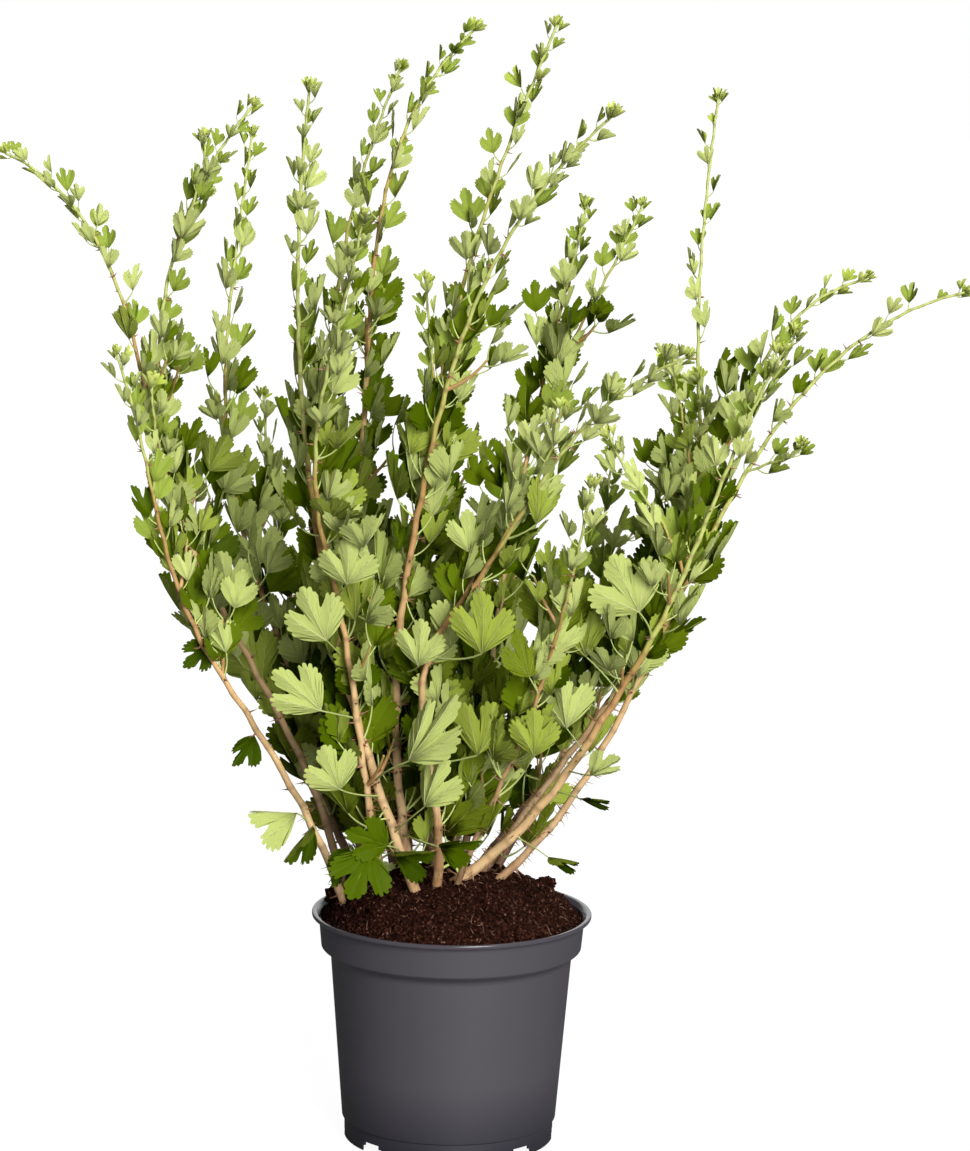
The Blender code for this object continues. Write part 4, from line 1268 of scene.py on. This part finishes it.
def put_blade(spray, base, along, top, roll, length, tint, chance, width=BLADE_WIDTH):
    top = Matrix.Rotation(roll, 3, along) @ top
    across = top.cross(along).normalized()
    top = along.cross(across)
    turn = Matrix((along, across, top)).transposed().to_euler("XYZ")
    wide = length * width * chance.uniform(0.88, 1.12)
    first, count = kind_of(length)
    spray.rows.append((base, tuple(turn), (length, wide, length), first + chance.randrange(count), tint))


def set_leaf(spray, cane, base, tip, roll_deg, tint, width, chance):
    """One leaf whose blade runs between two points; its stalk comes from the cane below it."""
    base, tip = Vector(base), Vector(tip)
    along = (tip - base).normalized()
    length = (tip - base).length
    low = base - along * length * 0.6 - UPWARD * 0.006
    share = min((step / 100 for step in range(3, 90)), key=lambda part: (cane.place(part)[0] - low).length)
    root, way = cane.kinked(share)
    first_way = ((base - root).normalized() + way).normalized()
    add_stalk(spray, stalk_points(root, first_way, base, along), length)
    put_blade(spray, base, along, Vector((0.0, 1.0, 0.0)), math.radians(roll_deg), length * 1.04, tint,
              chance, width)


GROUPS = {
    "left": ("far_left", "outer_left", "left_high", "left_thin"),
    "left_front": ("left_front", "short_left", "curl"),
    "middle_left": ("tall_left", "tall_mid", "tallest"),
    "middle_front": ("mid_front", "bent", "short_right"),
    "right": ("tall_right", "right_spray", "mid_back"),
    "right_front": ("right_front", "far_right"),
    "back": ("inner", "back_left", "back_mid", "back_right"),
}

# Side shoots: their cane, where on it, then x, y, z and lean at the tip, and the thickness
SHOOTS = (
    ("mid_back", 0.66, (0.143, 0.120, 0.733, 22), 0.45),
    ("tall_right", 0.50, (0.186, 0.060, 0.604, -4), 0.50),
    ("right_spray", 0.52, (0.160, 0.030, 0.624, -14), 0.45),
    ("right_front", 0.62, (0.112, -0.060, 0.570, -16), 0.45),
    ("left_high", 0.80, (-0.208, 0.110, 0.782, -14), 0.40),
    ("far_left", 0.52, (-0.236, -0.010, 0.600, 2), 0.40),
    ("right_spray", 0.66, (0.262, 0.060, 0.640, 10), 0.40),
    ("far_right", 0.62, (0.262, -0.030, 0.560, 14), 0.40),
    ("bent", 0.56, (0.075, -0.160, 0.600, 6), 0.40),
    ("tallest", 0.62, (0.012, 0.020, 0.640, -12), 0.40),
    ("back_left", 0.70, (-0.150, 0.280, 0.500, -30), 0.40),
    ("back_right", 0.70, (0.175, 0.270, 0.480, 34), 0.40),
)

# Large leaves that stand apart: their cane, the foot and tip of the blade, its roll in degrees
# from underside to the front, its tint and how wide it is for its length
SET_LEAVES = (
    ("right_front", (0.137, -0.105, 0.438), (0.115, -0.110, 0.479), 10, 2, 0.90),
    ("right_front", (0.085, -0.090, 0.346), (0.078, -0.095, 0.383), -8, 2, 0.90),
    ("left_front", (-0.033, -0.115, 0.324), (0.004, -0.125, 0.374), -30, 2, 0.46),
    ("left_front", (-0.099, -0.110, 0.360), (-0.131, -0.118, 0.391), 8, 2, 0.90),
    ("left_front", (-0.085, -0.100, 0.298), (-0.098, -0.108, 0.331), 14, 2, 0.90),
    ("left_front", (-0.021, -0.100, 0.286), (-0.010, -0.110, 0.324), -30, 2, 0.75),
    ("left_front", (-0.062, -0.088, 0.250), (-0.075, -0.104, 0.214), 172, 1, 0.95),
    ("left_front", (-0.078, -0.076, 0.246), (-0.092, -0.090, 0.222), 150, 0, 0.80),
    ("left_front", (-0.049, -0.082, 0.251), (-0.080, -0.096, 0.266), 196, 1, 0.80),
    ("left_front", (-0.044, -0.082, 0.246), (-0.012, -0.095, 0.252), 214, 0, 0.70),
    ("mid_front", (-0.009, -0.080, 0.250), (0.022, -0.090, 0.262), 190, 1, 0.60),
    ("outer_left", (-0.184, -0.052, 0.402), (-0.206, -0.062, 0.382), 175, 0, 0.80),
    ("outer_left", (-0.153, -0.052, 0.329), (-0.169, -0.062, 0.307), 165, 0, 0.80),
    ("outer_left", (-0.120, -0.050, 0.268), (-0.153, -0.070, 0.273), 60, 2, 0.80),
    ("outer_left", (-0.107, -0.048, 0.257), (-0.131, -0.062, 0.236), 118, 0, 0.70),
    ("mid_front", (0.018, -0.095, 0.325), (0.035, -0.100, 0.362), 20, 1, 0.90),
    ("short_right", (0.061, -0.100, 0.326), (0.062, -0.104, 0.361), 0, 1, 0.90),
    ("bent", (0.020, -0.130, 0.409), (0.023, -0.135, 0.453), 6, 1, 0.90),
    ("mid_front", (-0.027, -0.110, 0.395), (-0.024, -0.118, 0.429), -6, 2, 0.90),
    ("short_right", (0.056, -0.110, 0.388), (0.046, -0.100, 0.422), 30, 0, 0.70),
    ("right_front", (0.099, -0.085, 0.400), (0.083, -0.090, 0.439), -24, 1, 0.90),
    ("short_right", (0.079, -0.090, 0.417), (0.074, -0.090, 0.473), 8, 0, 0.72),
    ("left_front", (-0.095, -0.125, 0.416), (-0.115, -0.130, 0.454), -4, 2, 0.90),
    ("bent", (0.058, -0.150, 0.509), (0.075, -0.150, 0.551), 34, 1, 0.60),
    ("left_front", (-0.080, -0.135, 0.460), (-0.077, -0.140, 0.493), 0, 2, 0.90),
    ("right_front", (0.074, -0.060, 0.239), (0.096, -0.075, 0.241), 240, 0, 0.90),
    ("right_front", (0.104, -0.080, 0.308), (0.124, -0.090, 0.324), 20, 2, 0.90),
    ("right_front", (0.098, -0.070, 0.287), (0.117, -0.085, 0.293), 230, 0, 0.90),
)


def tint_of(age, depth, chance):
    """Old leaves low down are dark and young ones pale; leaves deep inside the bush get darker tints as
    painted shade.
    """
    # Depth takes the tint darker: painted shade inside the bush
    value = age - 1.1 * depth + chance.uniform(-0.16, 0.16)
    if value < 0.02:
        return 0
    if value < 0.30:
        return 1 + (chance.random() < 0.35)
    if value < 0.62:
        return 2 - (chance.random() < 0.22)
    return 3 if value < 1.04 else 4


def depth_of(point):
    """How deep a point lies inside the bush, for painted shade on its leaves: 0 outside, up to about 0.5 at
    its heart.
    """
    reach = 0.07 + 0.16 * min(1.0, max(0.0, (point.z - 0.18) / 0.45))
    away = math.hypot(point.x, point.y - 0.03) / reach
    return max(0.0, 1.0 - away) * 0.5 * max(0.0, min(1.0, (0.66 - point.z) / 0.2))


SIDE_TWIG_EVERY = 0.14
SIDE_TWIGS_UNTIL = 0.66
SIDE_TWIG_LENGTH = 0.042
SIDE_TWIG_RADIUS = 0.0013
SIDE_TWIG_SPREAD = 0.90
TWIG_RELIEF = 0.0002


def leaves_at(age, chance):
    """How many leaves stand at one joint: tufts on old wood, single ones on new."""
    if age < 0.30:
        return 2 + (chance.random() < 0.5)
    if age < 0.66:
        return 2
    return 1 + (chance.random() < 0.3)


def dress_twig(cane, share, turn, spray, chance):
    """A side twig that carries a leaf at its tip and some on its sides."""
    base, way = cane.kinked(share)
    side = cane.side(share, turn)
    root = base + side * cane.radius(share) * 0.5
    along = (way * math.cos(SIDE_TWIG_SPREAD) + side * math.sin(SIDE_TWIG_SPREAD)).normalized()
    length = SIDE_TWIG_LENGTH * chance.uniform(0.85, 1.15)
    middle = root + along * length * 0.5
    after = (along + UPWARD * 0.8).normalized()
    end = middle + after * length * 0.5
    points = [bowed(root, middle, end, step / 5) for step in range(6)]
    # The twig carries half of its cane's painted shade
    spray.twigs.add(points, thickness=[SIDE_TWIG_RADIUS * (1.3 - 0.11 * step) for step in range(6)],
                    age=[0.5 + 0.05 * step for step in range(6)], joint=[0.0] * 6,
                    brown=[0.5 * cane.brown] * 6)
    size = blade_length(cane.age(share))
    tint = tint_of(cane.age(share), depth_of(end), chance)
    for part, turn_by in ((0.35, 0.9), (0.6, -2.1), (0.85, 2.4), (1.0, 0.0)):
        aside = Matrix.Rotation(turn_by + chance.uniform(-0.4, 0.4), 3, after) @ side_of(after)
        blade = size * chance.uniform(0.62, 0.92)
        spread = chance.uniform(0.3, 0.7) if part < 1.0 else 0.12
        spot = bowed(root, middle, end, part)
        add_leaf(spray, spot, after, aside, spread, blade * chance.uniform(0.5, 0.8), blade, tint, chance)


def dress_cane(cane, spray, chance):
    """Leaves at every joint above the bare foot, then a rosette of young ones at the tip."""
    last_twig = 0.0
    for number, share in enumerate(cane.joints):
        if share < cane.leafy_from:
            continue
        age = cane.age(share)
        sparse = cane.name in SPARSE_CANES and age > SPARSE_FROM
        if sparse and number % 2:
            continue
        base, way = cane.kinked(share)
        if age < SIDE_TWIGS_UNTIL and share - last_twig > SIDE_TWIG_EVERY:
            turn = cane.joint_turn(number)
            sides = [(cane.side(share, turn + swing).dot(outward_way(base)), swing) for swing in (2.2, -2.2)]
            dress_twig(cane, share, turn + min(sides)[1], spray, chance)
            last_twig = share
        tint = tint_of(age, depth_of(base), chance)
        for which in range(leaves_at(age, chance)):
            turn = cane.joint_turn(number) + (0.0, 0.75, -0.8)[which] + chance.uniform(-0.3, 0.3)
            side = cane.side(share, turn)
            if cane.name in SHOWN_CANES and side.y < 0.0 and age < 0.75:
                side = Vector((side.x, -side.y, side.z))
            if side.dot(outward_way(base)) > FACE_OPEN and age < 0.8 and chance.random() < FACE_BARE:
                continue
            length = blade_length(age) * (1.0, 0.80, 0.66)[which] * chance.uniform(0.80, 1.12)
            length *= SPARSE_CANES[cane.name] if sparse else 1.0
            spread = SPREAD_LOW + (SPREAD_TIP - SPREAD_LOW) * age + chance.uniform(-0.22, 0.30)
            spread += max(0.0, 0.16 - age) * chance.uniform(0.0, 4.5)
            stalk = length * (STALK_LOW + (STALK_TIP - STALK_LOW) * age) * chance.uniform(0.7, 1.25)
            root = base + side * cane.radius(share) * 0.6
            add_leaf(spray, root, way, side, spread, stalk, length, tint, chance)
    tip, way = cane.place(cane.last)
    for number in range(5):
        side = cane.side(cane.last, cane.turn + number * LEAF_TURN)
        spread = 0.12 + 0.17 * number
        add_leaf(spray, tip - way * 0.0014 * number, way, side, spread, 0.0015 + 0.0006 * number,
                 0.0070 + 0.0010 * number, 4, chance)


def side_shoots(cane):
    """The cane's own side shoots, each a short young cane."""
    shoots = []
    for name, share, tip, thick in SHOOTS:
        if name == cane.name:
            start, way = cane.kinked(share)
            end = Vector(tip[:3])
            lean = math.radians(tip[3])
            end_way = Vector((math.sin(lean), 0.0, math.cos(lean)))
            start_way = ((end - start).normalized() + way * 0.6).normalized()
            route = [bezier(start, start_way, end, end_way, step / ROUTE_STEPS)
                     for step in range(ROUTE_STEPS + 1)]
            shoots.append(Cane(name + "_shoot", route, 0.0, thick, leaf_chance))
    return shoots


shown_points = [cane.place(step / 90)[0] for cane in canes if cane.name in SHOWN_CANES
                for step in range(2, 72)]
leaf_chance = random.Random(77)
blade_shapes = template_collection("blade", make_blades())
leaf_nodes = leaves_tree()
leaf_looks = {}
for number, (upper, under, vein) in enumerate(TINTS):
    leaf_looks[f"Upper {number}"] = leaf_finish(f"leaf_upper_{number}", upper, 0.52, 500.0)
    leaf_looks[f"Under {number}"] = leaf_finish(f"leaf_under_{number}", under, 0.66, 700.0)
    leaf_looks[f"Vein {number}"] = leaf_finish(f"leaf_vein_{number}", vein, 0.55, 900.0)
stalk_look = leaf_finish("leaf_stalk", (0.56, 0.66, 0.22), 0.5, 600.0)
by_name = {cane.name: cane for cane in canes}
for group, members in GROUPS.items():
    spray = Spray("leaves_" + group)
    for cane in [by_name[name] for name in members]:
        dress_cane(cane, spray, leaf_chance)
        for shoot in side_shoots(cane):
            points, values = shoot.line()
            spray.twigs.add(points[1:], **{label: rows[1:] for label, rows in values.items()})
            dress_cane(shoot, spray, leaf_chance)
        for name, *row in SET_LEAVES:
            if name == cane.name:
                set_leaf(spray, cane, *row, leaf_chance)
    leaves = grown(spray.name, spray.mesh(), leaf_nodes, {"Blades": blade_shapes, **leaf_looks})
    stalks = limbs("stalks_" + group, spray.stalks, 4, stalk_look)
    twigs = limbs("twigs_" + group, spray.twigs, 6, bark, TWIG_RELIEF, BARK_GRAIN)
    for piece, slot in ((leaves, "leaf"), (stalks, "leaf"), (twigs, "bark")):
        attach(piece, "root")
        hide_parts(*["foliage_" + name for name in members])
drop_templates(blade_shapes)

# Floor and light
# A white studio floor, as for a cut-out picture. Large soft boxes stand to the right of the
# front, high and low, faintly to the left, and behind the plant.

FLOOR_HALF = 30.0
FLOOR_LIGHT = 0.04
FLOOR_SEEN = 0.93
AIR_LIGHT = 0.06
AIR_SEEN = 1.0


def make_floor():
    shape = bmesh.new()
    bmesh.ops.create_grid(shape, x_segments=1, y_segments=1, size=FLOOR_HALF)
    mesh = mesh_from(shape, "studio_floor")
    material, tree, shader = new_finish("studio_white", (0.10, 0.10, 0.10), 0.95)
    shader.inputs["Emission Color"].default_value = (1.0, 1.0, 1.0, 1.0)
    sight = add_node(tree, "ShaderNodeLightPath")
    glow = range_node(tree, sight.outputs["Is Camera Ray"], FLOOR_LIGHT, FLOOR_SEEN)
    wire(tree, (glow, "Result", shader, "Emission Strength"))
    mesh.materials.append(material)
    return add_object("studio_floor", mesh)


floor = make_floor()

world = bpy.data.worlds.new("studio_air")
world.use_nodes = True
air = world.node_tree
air.nodes["Background"].inputs["Color"].default_value = (1.0, 1.0, 1.0, 1.0)
seen = add_node(air, "ShaderNodeLightPath")
bright = range_node(air, seen.outputs["Is Camera Ray"], AIR_LIGHT, AIR_SEEN)
wire(air, (bright, "Result", air.nodes["Background"], "Strength"))
bpy.context.scene.world = world


def far_light(name, side_deg, height_deg, softness_deg, strength, colour=(1.0, 1.0, 1.0)):
    """A large far soft box, seen from the plant at this turn from the front and this height."""
    light = bpy.data.lights.new(name, "SUN")
    light.angle = math.radians(softness_deg)
    light.energy = strength
    light.color = colour
    item = bpy.data.objects.new(name, light)
    flat = math.cos(math.radians(height_deg))
    way = Vector((flat * math.sin(math.radians(side_deg)), -flat * math.cos(math.radians(side_deg)),
                  math.sin(math.radians(height_deg))))
    item.rotation_euler = way.to_track_quat("Z", "Y").to_euler()
    bpy.context.scene.collection.objects.link(item)


far_light("key_light", 24.0, 28.0, 26.0, 2.8, (1.0, 0.985, 0.95))
far_light("low_light", 19.0, 3.0, 24.0, 1.9)
far_light("left_light", -55.0, 30.0, 45.0, 0.06)
far_light("top_light", 170.0, 62.0, 40.0, 0.9)
far_light("back_light", 180.0, 26.0, 50.0, 0.7)

# Camera
# It stands 2.7 m in front of the pot at the height of the tallest tips. It looks about nine
# degrees down and is turned one degree on its own axis.

CAMERA_PLACE = Vector((0.0215, -VIEW_DISTANCE, VIEW_HEIGHT))
CAMERA_DOWN = math.radians(8.68)
CAMERA_ROLL = math.radians(1.0)
PICTURE_HEIGHT = 1151
FOCAL_PIXELS = 3524.0
SENSOR = 36.0

forward = Vector((0.0, math.cos(CAMERA_DOWN), -math.sin(CAMERA_DOWN)))
right = Vector((1.0, 0.0, 0.0))
up = right.cross(forward)
rolled_right = right * math.cos(CAMERA_ROLL) + up * math.sin(CAMERA_ROLL)
rolled_up = up * math.cos(CAMERA_ROLL) - right * math.sin(CAMERA_ROLL)
camera_data = bpy.data.cameras.new("photo_camera")
camera_data.sensor_width = SENSOR
camera_data.lens = FOCAL_PIXELS * SENSOR / PICTURE_HEIGHT
camera = bpy.data.objects.new("photo_camera", camera_data)
bpy.context.scene.collection.objects.link(camera)
camera.matrix_world = Matrix.Translation(CAMERA_PLACE) @ Matrix(
    (rolled_right, rolled_up, -forward)).transposed().to_4x4()
bpy.context.scene.camera = camera
bpy.context.scene.view_settings.view_transform = "Standard"
